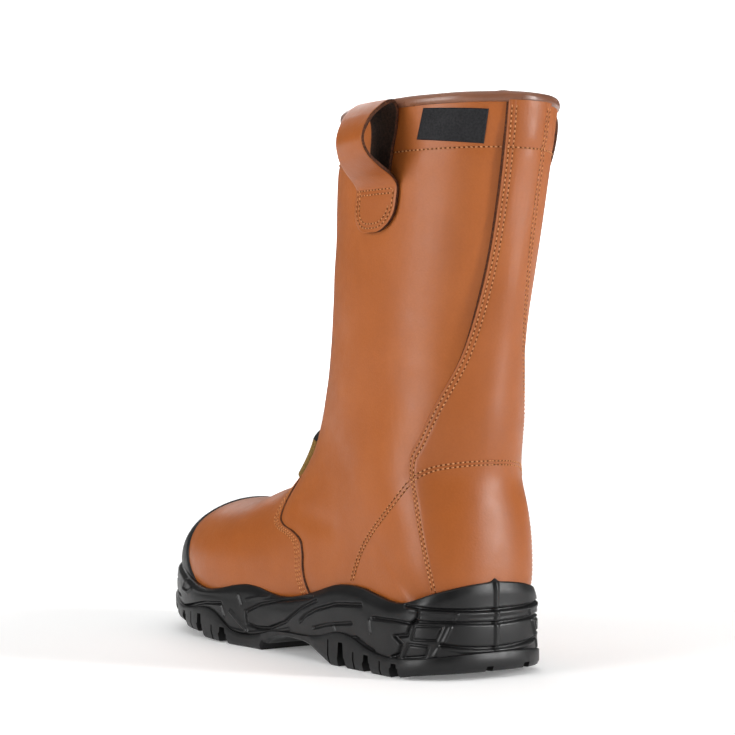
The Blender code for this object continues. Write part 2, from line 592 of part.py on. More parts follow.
def build_toe_guard(parts):
    t = np.linspace(-1, 1, 25)
    rows = [0.0, 1.0, 2.0, 3.0, 4.0, "near", "late", "edge"]

    def lowest(u, side):
        """Share of the way up at which row u leaves the cup's edge."""
        line, run = section_line(u, side)
        top = wave_height(line[:, 0], line[:, 1], side) + 2 * GAP
        over = np.nonzero(line[:, 2] > top)[0]
        i = over[0]
        if i == 0:
            return 0.0
        a, b = line[i - 1, 2] - top[i - 1], line[i, 2] - top[i]
        return float(run[i - 1] + (run[i] - run[i - 1]) * (-a) / (b - a))

    inner, outer = [], []
    for row in rows:
        pts, nrm = [], []
        for x in t:
            side = 1 if x >= 0 else -1
            v = 1 - abs(x)
            for _ in range(12):
                edge = float(table_at(GUARD_EDGE, "up", "row", v))
                near = 5.0 if edge >= 5.25 else 4 + .6 * (edge - 4)
                late = 6.0 if edge >= 6.2 else (near + edge) / 2
                u = {"near": near, "late": late, "edge": edge}.get(row, row)
                base = lowest(u, side)
                v = base + (1 - abs(x)) * (1 - base)
            pts.append(upper_at(u, np.array([v]), side)[0])
            nrm.append(outward(u, np.array([v]), side)[0] if u > .05 else np.array([0, 1.0, 0]))
        inner.append((np.array(pts), np.array(nrm)))
    pts = np.array([p for p, _ in inner])
    nrm = np.array([n for _, n in inner])
    tip = pts[0, 0] + (pts[0, -1] - pts[0, 0]) * np.linspace(0, 1, len(t))[:, None]
    pts = np.concatenate([tip[None], pts])
    nrm = np.concatenate([np.tile([0, 1.0, 0], (1, len(t), 1)), nrm])
    inside = pts + nrm * (GAP + .2)
    outside = pts + nrm * (GAP + .2 + GUARD_THICK)
    for grid in (inside, outside):
        for edge in ((slice(None), 0), (slice(None), -1), (0, slice(None))):
            grid[edge][..., 2] = np.maximum(grid[edge][..., 2], pts[edge][..., 2] - GAP * .6)
    return mesh_object("toe_guard", *plate(inside, outside), parts, (.012, .012, .013), .5)


def build_instep_tab(parts):
    v = np.linspace(0, 1, UPPER_COLUMNS + 1)[-4:]
    inner, outer = [], []
    for u in (10.0, 11.0, 12.0, 13.0):
        pts, nrm = [], []
        for side, order in ((1, v), (-1, v[::-1][1:])):
            pts.append(upper_at(u, order, side))
            nrm.append(outward(u, order, side))
        pts, nrm = np.concatenate(pts), np.concatenate(nrm)
        inner.append(pts + nrm * (GAP + .35))
        outer.append(pts + nrm * (GAP + .35 + TAB_THICK))
    inner, outer = np.array(inner), np.array(outer)
    for grid in (inner, outer):
        grid[0] += (grid[1] - grid[0]) * .5
        grid[3] += (grid[2] - grid[3]) * .75
    return mesh_object("instep_tab", *plate(inner, outer), parts, (.16, .10, .025), .5)


def build_binding(parts):
    v = np.linspace(0, 1, 25)
    a, b = upper_at(COLLAR_ROW, v, 1), upper_at(COLLAR_ROW, v, -1)
    na, nb = outward(COLLAR_ROW, v, 1), outward(COLLAR_ROW, v, -1)
    line = np.concatenate([a, b[::-1][1:-1]])
    normal = np.concatenate([na, nb[::-1][1:-1]])
    normal[:, 2] = 0
    normal /= np.linalg.norm(normal, axis=1)[:, None]
    rim = [(-.92, 0), (-1, .35), (-.62, .86), (0, 1.0), (.62, .86), (1, .35), (.92, 0)]
    rings = []
    for p, n in zip(line, normal):
        centre = p - n * (WALL / 2)
        rings.append(np.array([centre + n * (BINDING_HALF_WIDTH * x) + np.array([0, 0, BINDING_RISE + z * BINDING_HEIGHT])
                               for x, z in rim]))
    rings.append(rings[0])
    return mesh_object("collar_binding", *ring_loft(rings), parts, (.17, .072, .04), .4)


def build_loop(parts, name, table, side, end):
    """Folded strap: up the shaft, over, out and down to its sewn tab."""
    n = np.arange(len(table))
    fine = np.linspace(0, len(table) - 1, 27)
    rows = [Strap(*[float(smooth(n, column(table, f), k)) for f in Strap._fields]) for k in fine]
    last = rows[-1]
    steps = [0.0, .35, .62, .82, .94, 1.0]
    for k in steps[1:]:
        z = last.z + (end - last.z) * k
        over = max(0.0, (end + TAB_CORNER) - z)
        trim = TAB_CORNER - np.sqrt(max(TAB_CORNER**2 - min(over, TAB_CORNER)**2, 0.0))
        rows.append(Strap(last.off, z, last.rear + trim, last.front - trim, 1.0))
    across = np.linspace(0, 1, 5)
    middle = np.array([[r.off, r.z] for r in rows])
    tangent = np.gradient(middle, axis=0)
    tangent /= np.hypot(tangent[:, 0], tangent[:, 1])[:, None]
    faces_out = np.stack([tangent[:, 1], -tangent[:, 0]], 1)
    grids = []
    for sign in (-1, 1):
        grid = []
        for r, m, f in zip(rows, middle, faces_out):
            line = []
            for k in across:
                s = r.rear + (r.front - r.rear) * k
                off, z = m * (1 - k * (1 - r.share), 1) + f * sign * STRAP_THICK / 2
                x, normal = shaft_point(s, z, side)
                line.append((x + normal[0] * off, s + normal[1] * off, z))
            grid.append(line)
        grids.append(np.array(grid))
    return mesh_object(name, *plate(*grids), parts, (.45, .155, .043), .42)


def main():
    for obj in list(bpy.data.objects):
        bpy.data.objects.remove(obj, do_unlink=True)
    parts = bpy.data.collections.new("safety_boot")
    cutters = bpy.data.collections.new("cutters")
    bpy.context.scene.collection.children.link(parts)
    bpy.context.scene.collection.children.link(cutters)

    build_outsole(parts, cutters)
    build_midsole(parts, cutters)
    build_upper(parts)
    build_insole(parts)
    build_back_panel(parts)
    build_toe_guard(parts)
    build_instep_tab(parts)
    build_binding(parts)
    build_loop(parts, "pull_loop_lateral", LOOP_OUTER, 1, TAB_END_OUTER)
    build_loop(parts, "pull_loop_medial", LOOP_INNER, -1, TAB_END_INNER)


main()
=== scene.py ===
"""Looks of the pull-on safety boot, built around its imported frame.

Shoe coordinates, in millimetres, as in the part: s runs forward from the back
of the sole to the toe, x outward (outer side of the foot +x), z up.
"""

from collections import namedtuple
from math import cos, pi, radians, sin

import bmesh
import bpy
import numpy as np
from mathutils import Matrix, Vector

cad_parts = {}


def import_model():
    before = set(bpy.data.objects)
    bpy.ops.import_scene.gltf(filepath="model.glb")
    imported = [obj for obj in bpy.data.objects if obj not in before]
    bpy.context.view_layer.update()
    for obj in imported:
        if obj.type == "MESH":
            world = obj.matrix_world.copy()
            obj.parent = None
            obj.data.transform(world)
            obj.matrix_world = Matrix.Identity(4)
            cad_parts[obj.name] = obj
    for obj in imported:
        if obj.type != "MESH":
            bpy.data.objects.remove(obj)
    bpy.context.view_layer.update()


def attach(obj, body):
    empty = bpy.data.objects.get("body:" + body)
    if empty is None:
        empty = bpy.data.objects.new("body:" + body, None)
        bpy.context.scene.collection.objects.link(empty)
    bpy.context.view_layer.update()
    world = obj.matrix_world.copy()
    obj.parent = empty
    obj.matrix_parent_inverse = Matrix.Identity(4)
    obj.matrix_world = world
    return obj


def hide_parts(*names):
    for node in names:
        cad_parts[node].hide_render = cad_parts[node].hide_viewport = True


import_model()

# ---------------------------------------------------------------- sizes (mm)
SOLE_LENGTH = 306.0        # about a size 43
COLLAR_HEIGHT = 296.0      # top of the leather wall, under the binding
WALL = 2.8                 # leather and lining together
GAP = 0.3                  # clearance between neighbouring pieces
HEEL_CAP = 42.0            # length of the rounded back of the sole
HEEL_SQUARE = 2.75         # superellipse power of the back of the sole
TOE_CAP = 84.0             # length of the rounded front of the sole
TOE_SQUARE = 2.35
FEATHER_INSET = 11.0       # sole outline to the lasted edge of the upper
OUTSOLE_FLANGE = 1.0       # the tread stands out this far from the cup
GROOVE_DEPTH = 4.6         # tread depth
PANEL_THICK = 1.8          # back strip and counter
GUARD_THICK = 1.2          # toe guard
TAB_THICK = 2.6            # instep tab
STRAP_THICK = 2.0          # pull loops
INSOLE_THICK = 3.0
INSOLE_INSET = 4.8         # insole to the lasted edge of the upper
BINDING_HALF_WIDTH = 2.5
BINDING_HEIGHT = 4.0
BINDING_RISE = 0.75        # foot of the binding above the collar row
MID_X, MID_S = -1.87, 142.42  # middle of the whole boot's box, seen from above

UPPER_COLUMNS = 16         # facets up each side of the upper
SOLE_STATIONS = 44         # facets along each side of the sole

# ---------------------------------------------------------------- short tables
# plan of the sole: middle line and half width along the length
Plan = namedtuple("Plan", "s middle half")
PLAN = [
    Plan(0, 0.0, 44.0), Plan(30, 0.3, 44.0), Plan(60, 0.8, 44.5), Plan(95, 3.5, 43.2),
    Plan(130, 5.0, 42.3), Plan(165, 3.3, 45.3), Plan(195, 0.5, 51.3), Plan(220, -0.5, 53.0),
    Plan(245, -1.5, 52.0), Plan(270, -3.5, 50.5), Plan(306, -6.0, 49.0),
]

# underside of the tread and joint between tread and cup, along the length
Level = namedtuple("Level", "s bottom joint")
LEVELS = [
    Level(0, 3.8, 13.8), Level(8, 3.2, 12.2), Level(18, 1.9, 10.8), Level(30, 0.0, 10.4),
    Level(40, 0.0, 10.6), Level(52, 0.0, 12.6), Level(66, 0.0, 17.0), Level(76, 0.0, 18.6),
    Level(86, 0.0, 17.6), Level(97, 4.2, 15.0), Level(108, 8.8, 13.6), Level(120, 10.2, 13.2),
    Level(133, 10.2, 13.0), Level(146, 7.0, 12.2), Level(157, 0.0, 9.6), Level(172, 0.0, 7.4),
    Level(188, 0.0, 9.6), Level(197, 1.0, 14.4), Level(206, 1.9, 18.4), Level(216, 3.1, 19.4),
    Level(228, 4.8, 18.0), Level(244, 7.4, 17.0), Level(265, 10.8, 19.0), Level(288, 14.0, 22.6),
    Level(306, 16.8, 26.0),
]

# wavy edge of the cup: height against the way round from the middle of the back
Wave = namedtuple("Wave", "way height lip")
WAVE = [
    Wave(0, 49.6, 0.9), Wave(16, 48.1, 1.0), Wave(30, 45.5, 1.4), Wave(39, 43.2, 1.9),
    Wave(50, 39.8, 2.6), Wave(58, 38.2, 3.0), Wave(67, 38.3, 3.2), Wave(79, 40.3, 3.4),
    Wave(93, 42.9, 3.6), Wave(106, 43.5, 3.7), Wave(116, 42.7, 3.7), Wave(138, 37.0, 3.6),
    Wave(153, 33.4, 3.4), Wave(163, 31.8, 3.2), Wave(171, 31.4, 3.0), Wave(182, 32.4, 2.8),
    Wave(195, 34.8, 2.6), Wave(206, 35.2, 2.6), Wave(218, 33.6, 2.6), Wave(232, 31.0, 2.4),
    Wave(246, 29.4, 2.2), Wave(258, 30.2, 2.2), Wave(275, 34.0, 2.2), Wave(296, 38.0, 2.4),
    Wave(330, 40.0, 2.8), Wave(420, 40.0, 2.8),
]

# the last: each row is a slanting section from its low end (sole or back line)
# to its high end (ridge of the foot or front line); half widths to each side,
# place of the widest point, and how square the section is below and above it
Section = namedtuple("Section", "low_s low_z high_s high_z middle outer inner widest square_low square_high")
LAST = [
    Section(298.0, 36.0, 298.0, 43.0, -6.0, 4.6, 4.6, .45, 2.0, 2.0),
    Section(296.5, 32.2, 296.5, 48.1, -5.9, 13.7, 13.7, .42, 2.2, 2.0),
    Section(293.0, 29.4, 293.0, 54.6, -5.7, 22.5, 22.5, .40, 2.4, 2.0),
    Section(286.2, 27.0, 286.2, 62.5, -5.3, 30.9, 30.9, .38, 2.5, 2.1),
    Section(275.6, 25.0, 275.6, 70.0, -4.6, 37.9, 37.9, .36, 2.5, 2.2),
    Section(260.0, 24.0, 260.0, 76.3, -3.4, 43.6, 43.6, .35, 2.5, 2.2),
    Section(242.0, 23.0, 242.0, 80.5, -1.8, 47.1, 47.1, .35, 2.5, 2.2),
    Section(222.0, 23.0, 221.0, 82.4, -0.5, 48.5, 48.5, .35, 2.5, 2.2),
    Section(198.0, 23.0, 201.0, 84.8, 1.0, 47.0, 46.5, .35, 2.5, 2.2),
    Section(174.0, 24.0, 185.1, 89.7, 2.5, 44.0, 43.5, .34, 2.5, 2.1),
    Section(148.0, 26.0, 167.3, 95.5, 3.2, 41.5, 40.5, .33, 2.5, 2.0),
    Section(118.0, 28.5, 153.3, 108.7, 3.0, 39.5, 38.5, .34, 2.5, 2.0),
    Section(85.0, 30.0, 144.2, 125.0, 1.7, 39.0, 37.8, .36, 2.6, 2.0),
    Section(50.0, 30.4, 142.0, 141.6, 0.7, 39.4, 38.8, .38, 2.8, 2.0),
    Section(25.0, 30.4, 139.5, 156.0, 0.3, 40.2, 40.0, .40, 3.0, 2.0),
    Section(13.0, 31.0, 137.8, 166.4, 0.0, 40.8, 40.8, .41, 3.1, 2.0),
    Section(5.0, 33.0, 137.0, 174.8, -0.3, 41.2, 41.4, .42, 3.1, 2.0),
    Section(3.5, 51.0, 136.0, 183.3, -0.7, 41.3, 41.8, .43, 2.9, 2.0),
    Section(4.2, 69.8, 135.0, 194.5, -1.2, 41.2, 41.6, .44, 2.6, 2.0),
    Section(6.3, 90.4, 134.3, 205.8, -1.8, 41.2, 41.4, .45, 2.35, 2.0),
    Section(7.2, 109.0, 133.5, 216.0, -2.5, 41.6, 41.6, .465, 2.2, 2.0),
    Section(6.3, 130.7, 132.8, 227.3, -3.2, 42.4, 42.3, .48, 2.1, 2.0),
    Section(3.6, 154.0, 132.0, 238.6, -4.0, 43.3, 43.2, .49, 2.05, 2.0),
    Section(0.2, 179.5, 131.3, 249.4, -4.8, 44.2, 44.0, .50, 2.0, 2.0),
    Section(-4.4, 205.4, 130.6, 259.4, -5.5, 45.2, 45.0, .50, 2.0, 2.0),
    Section(-9.2, 231.2, 130.0, 269.4, -6.2, 46.0, 46.0, .50, 2.0, 2.0),
    Section(-13.5, 256.0, 129.2, 279.2, -6.9, 46.7, 46.7, .50, 2.0, 2.0),
    Section(-17.2, 277.4, 128.4, 288.4, -7.4, 47.2, 47.2, .50, 2.0, 2.0),
    Section(-20.0, COLLAR_HEIGHT, 127.7, COLLAR_HEIGHT, -7.8, 47.5, 47.5, .50, 2.0, 2.0),
]
HEEL_ROW = 16              # from here up the low end is on the back line
COLLAR_ROW = len(LAST) - 1

# edge of the back strip, which widens into the counter: share of the way round
PanelEdge = namedtuple("PanelEdge", "row reach")
PANEL_EDGE = [
    PanelEdge(15.5, .140), PanelEdge(16.3, .166), PanelEdge(17.2, .203), PanelEdge(18.1, .233),
    PanelEdge(18.6, .250), PanelEdge(19.0, .250), PanelEdge(19.84, .219), PanelEdge(21.15, .166),
    PanelEdge(22.46, .110), PanelEdge(23.9, .079), PanelEdge(25.5, .069), PanelEdge(26.6, .069),
    PanelEdge(28.0, .072),
]

# rear edge of the toe guard: last row that it covers, by the share of the way up
GuardEdge = namedtuple("GuardEdge", "up row")
GUARD_EDGE = [
    GuardEdge(0.0, 6.4), GuardEdge(.10, 6.4), GuardEdge(.131, 6.3), GuardEdge(.165, 6.1), GuardEdge(.206, 5.85),
    GuardEdge(.281, 5.55), GuardEdge(.344, 5.42), GuardEdge(.413, 5.3), GuardEdge(.50, 5.18), GuardEdge(.61, 5.0),
    GuardEdge(.69, 5.08), GuardEdge(.775, 5.38), GuardEdge(.83, 5.7), GuardEdge(.92, 5.95), GuardEdge(1.0, 6.0),
]

# pull loops: stand-off of the rear edge from the shaft, height, the strap's rear
# and front edge, and the front edge's stand-off as a share of the rear one
Strap = namedtuple("Strap", "off z rear front share")
LOOP_OUTER = [
    Strap(1.5, 263.0, 40.0, 55.0, 1.0), Strap(1.5, 274.0, 37.5, 54.0, 1.0), Strap(1.6, 284.0, 34.5, 53.0, 1.0),
    Strap(2.9, 292.5, 32.2, 53.0, 1.0), Strap(3.9, 297.3, 31.6, 53.5, 1.0), Strap(6.8, 300.4, 31.4, 54.5, 1.0),
    Strap(12.0, 298.6, 31.4, 54.5, .95), Strap(20.4, 291.6, 31.6, 53.8, .88), Strap(27.2, 283.0, 32.0, 53.2, .84),
    Strap(29.2, 276.0, 32.4, 53.4, .82), Strap(25.2, 269.6, 32.8, 56.0, .82), Strap(17.0, 264.8, 33.3, 60.0, .86),
    Strap(7.4, 260.4, 33.8, 64.5, .95), Strap(2.2, 256.0, 34.2, 67.0, 1.0), Strap(1.5, 251.5, 34.6, 67.8, 1.0),
]
LOOP_INNER = [
    Strap(1.5, 258.0, 42.0, 62.0, 1.0), Strap(1.5, 272.0, 40.5, 61.0, 1.0), Strap(1.5, 286.0, 38.5, 59.5, 1.0),
    Strap(2.4, 294.0, 37.0, 58.5, 1.0), Strap(3.4, 300.0, 36.4, 58.4, 1.0), Strap(6.4, 303.8, 36.2, 58.6, 1.0),
    Strap(10.6, 303.4, 36.2, 58.6, 1.0), Strap(13.6, 299.0, 36.3, 58.6, 1.0), Strap(14.2, 290.5, 36.6, 59.0, 1.0),
    Strap(13.0, 279.0, 37.0, 60.5, 1.0), Strap(10.0, 267.5, 37.6, 64.0, 1.0), Strap(5.8, 256.5, 38.2, 69.0, 1.0),
    Strap(1.9, 247.5, 38.8, 71.8, 1.0),
]
TAB_CORNER = 14.0          # rounding of the sewn end of each loop
TAB_END_OUTER, TAB_END_INNER = 231.5, 226.0

# tread: notches cut in from the edge (side +1 outer, -1 inner), and bars across
Notch = namedtuple("Notch", "s side turn length width")
NOTCHES = [
    Notch(29.5, 1, 8, 17, 6.0), Notch(53, 1, 4, 17, 6.4), Notch(76, 1, 0, 17, 6.4),
    Notch(29.5, -1, 8, 17, 6.0), Notch(53, -1, 4, 17, 6.4), Notch(76, -1, 0, 17, 6.4),
    Notch(194, 1, -6, 17, 8.0), Notch(220, 1, -12, 17, 6.6), Notch(243, 1, -20, 17, 6.0),
    Notch(262, 1, -32, 17, 4.6),
    Notch(194, -1, -6, 17, 8.0), Notch(220, -1, -12, 17, 6.6), Notch(243, -1, -20, 17, 6.0),
    Notch(262, -1, -32, 17, 4.6),
]
BACK_NOTCHES = (4.5, -21.0)   # across the back edge of the heel
Bar = namedtuple("Bar", "s half_length width")
BARS = [
    Bar(46.5, 17, 4.6), Bar(66, 17, 4.6), Bar(179, 28, 4.6), Bar(204, 26, 4.6), Bar(222, 25, 4.6),
    Bar(240, 24, 4.6), Bar(258, 21, 4.6),
]

# ---------------------------------------------------------------- curves


def column(table, name):
    return np.array([getattr(row, name) for row in table], float)


def smooth(xs, ys, x):
    """Cubic through a table's points, with slopes from the neighbours."""
    xs, ys = np.asarray(xs, float), np.asarray(ys, float)
    step = np.diff(xs)
    slope = np.diff(ys) / step
    m = np.empty_like(ys)
    m[1:-1] = (slope[:-1] * step[1:] + slope[1:] * step[:-1]) / (step[1:] + step[:-1])
    m[0], m[-1] = slope[0], slope[-1]
    x = np.clip(np.asarray(x, float), xs[0], xs[-1])
    i = np.clip(np.searchsorted(xs, x) - 1, 0, len(xs) - 2)
    t = (x - xs[i]) / step[i]
    return ((2 * t**3 - 3 * t**2 + 1) * ys[i] + (t**3 - 2 * t**2 + t) * step[i] * m[i]
            + (3 * t**2 - 2 * t**3) * ys[i + 1] + (t**3 - t**2) * step[i] * m[i + 1])


def table_at(table, key, name, x):
    return smooth(column(table, key), column(table, name), x)


# ---------------------------------------------------------------- sole outline


def plan(s, inset=0.0):
    """Middle line and half width of the sole, drawn in by inset."""
    back, front = inset, SOLE_LENGTH - inset
    heel = np.clip((back + HEEL_CAP - s) / HEEL_CAP, 0, 1)
    toe = np.clip((s - front + TOE_CAP) / TOE_CAP, 0, 1)
    round_ends = ((1 - heel**HEEL_SQUARE)**(1 / HEEL_SQUARE)) * ((1 - toe**TOE_SQUARE)**(1 / TOE_SQUARE))
    return table_at(PLAN, "s", "middle", s), (table_at(PLAN, "s", "half", s) - inset) * round_ends


def edge_line(side, count):
    """Points, outward normals and way round of the outline on one side, back to toe."""
    a = np.linspace(0, pi / 2, 500)
    s = np.concatenate([HEEL_CAP * (1 - np.cos(a)**(2 / HEEL_SQUARE)),
                        np.linspace(HEEL_CAP, SOLE_LENGTH - TOE_CAP, 400)[1:-1],
                        (SOLE_LENGTH - TOE_CAP * (1 - np.cos(a)**(2 / TOE_SQUARE)))[::-1]])
    middle, half = plan(s)
    outer = np.stack([middle + half, s], 1)
    way = np.concatenate([[0], np.cumsum(np.hypot(*np.diff(outer, axis=0).T))])
    stations = np.interp(np.linspace(0, way[-1], count + 1), way, s)
    stations[0], stations[-1] = 0.0, SOLE_LENGTH
    curve = np.stack([middle + side * half, s], 1)
    points = np.stack([np.interp(stations, s, curve[:, k]) for k in (0, 1)], 1)
    tangent = np.gradient(curve, axis=0)
    tangent /= np.maximum(np.hypot(tangent[:, 0], tangent[:, 1]), 1e-9)[:, None]
    normal = np.stack([side * tangent[:, 1], -side * tangent[:, 0]], 1)
    normals = np.stack([np.interp(stations, s, normal[:, k]) for k in (0, 1)], 1)
    normals[0], normals[-1] = (0, -1), (0, 1)
    normals /= np.hypot(normals[:, 0], normals[:, 1])[:, None]
    return points, normals, np.interp(stations, s, way)


EDGE = {side: edge_line(side, 400) for side in (1, -1)}


def wave_height(x, s, side):
    """Height of the cup's wavy edge beside a point, by the nearest place on the outline."""
    points, _, _ = EDGE[side]
    way = EDGE[1][2]
    x, s = np.atleast_1d(x), np.atleast_1d(s)
    near = np.argmin((points[None, :, 0] - x[:, None])**2 + (points[None, :, 1] - s[:, None])**2, axis=1)
    return table_at(WAVE, "way", "height", way[near])


# ---------------------------------------------------------------- upper surface


def last_row(u):
    n = np.arange(len(LAST))
    return Section(*[float(smooth(n, column(LAST, name), u)) for name in Section._fields])


def feather_half(row):
    """Half width of the opening underneath, nothing on the back line or at the toe's tip."""
    if row.low_s <= LAST[HEEL_ROW].low_s + 1e-6:
        return 0.0
    return float(min(plan(np.array(row.low_s), FEATHER_INSET)[1], .93 * row.outer))


def section_line(u, side):
    """One side of the section at row u, low end to high end, and its length so far."""
    row = last_row(u)
    start = feather_half(row) if u < HEEL_ROW - 1e-6 else 0.0
    wide = row.outer if side > 0 else row.inner
    a = np.linspace(0, pi / 2, 70)
    lo, hi = 2 / row.square_low, 2 / row.square_high
    q = np.concatenate([row.widest * (1 - np.cos(a)**lo), (row.widest + (1 - row.widest) * np.sin(a)**hi)[1:]])
    w = np.concatenate([start + (wide - start) * np.sin(a)**lo, (wide * np.cos(a)**hi)[1:]])
    w[-1] = 0.0
    line = np.stack([row.middle + side * w, row.low_s + q * (row.high_s - row.low_s),
                     row.low_z + q * (row.high_z - row.low_z)], 1)
    run = np.concatenate([[0], np.cumsum(np.linalg.norm(np.diff(line, axis=0), axis=1))])
    return line, run / run[-1]


def upper_at(u, v, side):
    """Points of the upper's outer face: row u, shares v of the way from low to high."""
    line, run = section_line(u, side)
    return np.stack([np.interp(v, run, line[:, k]) for k in range(3)], -1)


def upper_normal(u, v, side):
    du, dv = .03, .006
    v = np.asarray(v, float)
    up = upper_at(min(u + du, COLLAR_ROW), v, side) - upper_at(max(u - du, 0), v, side)
    across = upper_at(u, np.minimum(v + dv, 1), side) - upper_at(u, np.maximum(v - dv, 0), side)
    n = np.cross(across, up) * side
    centre = np.array([last_row(u).middle, 0, 0])
    n /= np.maximum(np.linalg.norm(n, axis=-1), 1e-9)[..., None]
    flip = np.sign(n[..., 0] * (upper_at(u, np.full_like(v, .5), side) - centre)[..., 0])
    mid = upper_at(u, np.array([.4, .6]), side)
    return n, flip, mid


def outward(u, v, side):
    """Unit normal of the upper's outer face, away from the foot."""
    n, _, _ = upper_normal(u, v, side)
    probe, _, _ = upper_normal(u, np.array([.5]), side)
    if probe[0, 0] * side < 0:
        n = -n
    end = np.isclose(v, 1.0) | (np.isclose(v, 0.0) & (u >= HEEL_ROW))
    n[end, 0] = 0.0
    return n / np.linalg.norm(n, axis=-1)[..., None]


# ---------------------------------------------------------------- fine surface of the upper
U_STEP, V_STEPS = .05, 240
FINE_U = np.linspace(0, COLLAR_ROW, int(round(COLLAR_ROW / U_STEP)) + 1)
FINE_V = np.linspace(0, 1, V_STEPS + 1)


def grid_normals(pts, side):
    n = np.cross(np.gradient(pts, axis=1), np.gradient(pts, axis=0))
    n /= np.maximum(np.linalg.norm(n, axis=-1), 1e-9)[..., None]
    n[n[:, V_STEPS // 2, 0] * side < 0] *= -1
    n[:, -1, 0] = 0.0
    n[int(HEEL_ROW / U_STEP):, 0, 0] = 0.0
    n[0] = (0, 1, 0)
    return n / np.maximum(np.linalg.norm(n, axis=-1), 1e-9)[..., None]


def fine_side(side):
    pts = np.array([upper_at(u, FINE_V, side) for u in FINE_U])
    eased = pts.copy()
    for i in np.nonzero((FINE_U > 13.6) & (FINE_U < 17.6))[0]:
        reach = int(14 * min(1, (FINE_U[i] - 13.6) / .8, (17.6 - FINE_U[i]) / .8))
        eased[i] = pts[i - reach:i + reach + 1].mean(0)
    n = grid_normals(eased, side)
    z = eased[..., 2]
    give_way = .9 * np.exp(-((z - 135) / 15)**2) - 2.1 * np.exp(-((z - 102) / 14)**2)
    give_way *= np.interp(FINE_U, [16, 17], [0, 1])[:, None] * np.interp(FINE_V, [0, .16, .28, .40], [1, 1, .5, 0])
    pts = eased + n * give_way[..., None]
    return pts, grid_normals(pts, side)


FINE = {side: fine_side(side) for side in (1, -1)}


def pick(grid, u, v):
    a, b = np.clip(u / U_STEP, 0, len(FINE_U) - 1.0001), np.clip(v * V_STEPS, 0, V_STEPS - .0001)
    i, j = a.astype(int), b.astype(int)
    f, g = (a - i)[..., None], (b - j)[..., None]
    return (grid[i, j] * (1 - f) * (1 - g) + grid[i + 1, j] * f * (1 - g)
            + grid[i, j + 1] * (1 - f) * g + grid[i + 1, j + 1] * f * g)


def surf(u, v, side):
    """Points and normals of the upper's outer face; side may be an array of +1 and -1."""
    u, v, side = np.broadcast_arrays(np.asarray(u, float), np.asarray(v, float), np.asarray(side))
    p, n = np.empty(u.shape + (3,)), np.empty(u.shape + (3,))
    for sg in (1, -1):
        m = side == sg
        if m.any():
            p[m], n[m] = pick(FINE[sg][0], u[m], v[m]), pick(FINE[sg][1], u[m], v[m])
    return p, n / np.maximum(np.linalg.norm(n, axis=-1), 1e-9)[..., None]


def row_at(point, side):
    """Row and share of the surface point nearest to a point."""
    d = ((FINE[side][0] - np.asarray(point, float))**2).sum(-1)
    i, j = np.unravel_index(np.argmin(d), d.shape)
    return FINE_U[i], FINE_V[j]


def on_surface(points, side):
    """The points brought onto the plain surface, its normals there, and the rows and shares."""
    g, gn = FINE[side]
    flat, out_p, out_n, uv = g.reshape(-1, 3), [], [], []
    for q in points:
        k = int(np.argmin(((flat - q)**2).sum(1)))
        n = gn.reshape(-1, 3)[k]
        out_p.append(q + n * float((flat[k] - q) @ n))
        out_n.append(n)
        uv.append((FINE_U[k // len(FINE_V)], FINE_V[k % len(FINE_V)]))
    uv = np.array(uv)
    return np.array(out_p), np.array(out_n), (uv[:, 0], uv[:, 1])


def row_length(u, side):
    """Length in mm of the half section at rows u."""
    g = FINE[side][0]
    lengths = np.linalg.norm(np.diff(g, axis=1), axis=-1).sum(1)
    return np.interp(u, FINE_U, lengths)


def row_step(u, v, side):
    """Millimetres per row."""
    a, _ = surf(np.minimum(u + .1, COLLAR_ROW), v, side)
    b, _ = surf(np.maximum(u - .1, 0), v, side)
    return np.linalg.norm(a - b, axis=-1) / .2


def near(points, line):
    """Distance of each point from a dense line of points."""
    points = np.asarray(points, float)
    flat = points.reshape(-1, 3)
    out = np.empty(len(flat))
    for i in range(0, len(flat), 20000):
        out[i:i + 20000] = np.sqrt(((flat[i:i + 20000, None] - line[None])**2).sum(-1).min(1))
    return out.reshape(points.shape[:-1])


def soft(x, low, high):
    t = np.clip((x - low) / (high - low), 0, 1)
    return t * t * (3 - 2 * t)


# ---------------------------------------------------------------- laps, folds and thicknesses
PANEL_HIGH = 1.7            # back strip and counter over the shaft
VAMP_HIGH = .35
COLLAR_SEAM = 272.5         # height of the seam under the collar
STRIP_DIP = 1.1             # the shaft is drawn in beside the back strip
VAMP_DIP = .75              # the quarter is pressed in beside the lap

VampEdge = namedtuple("VampEdge", "up row")
VAMP_EDGE = [
    VampEdge(0, 11.05), VampEdge(.11, 11.10), VampEdge(.15, 11.10), VampEdge(.22, 11.15), VampEdge(.31, 11.29),
    VampEdge(.365, 11.30), VampEdge(.417, 11.10), VampEdge(.487, 10.65), VampEdge(.525, 10.50), VampEdge(.596, 10.49),
    VampEdge(.642, 10.55), VampEdge(.692, 10.64), VampEdge(.738, 10.72), VampEdge(.80, 10.9), VampEdge(1, 11.1),
]


def vamp_row(v):
    return table_at(VAMP_EDGE, "up", "row", v)


def panel_reach(u):
    return table_at(PANEL_EDGE, "row", "reach", u)


EDGE_V = np.linspace(.02, 1, 260)
VAMP_LINE = {side: surf(vamp_row(EDGE_V), EDGE_V, side)[0] for side in (1, -1)}

# soft folds of the leather: rows and shares along each, depth and half width in mm
Fold = namedtuple("Fold", "line depth width")
FOLDS = [
    Fold([(12.4, .93), (13.2, .80), (14.2, .66), (15.0, .55)], -.30, 10.0),
    Fold([(13.6, .95), (14.6, .80), (15.6, .66), (16.6, .56)], .10, 11.0),
    Fold([(11.3, .50), (11.9, .44), (12.6, .38)], -.8, 7.0),
    Fold([(22.4, .80), (23.6, .60), (24.6, .45)], -.4, 13.0),
    Fold([(20.0, .62), (21.0, .52), (22.0, .42)], -.3, 12.0),
]


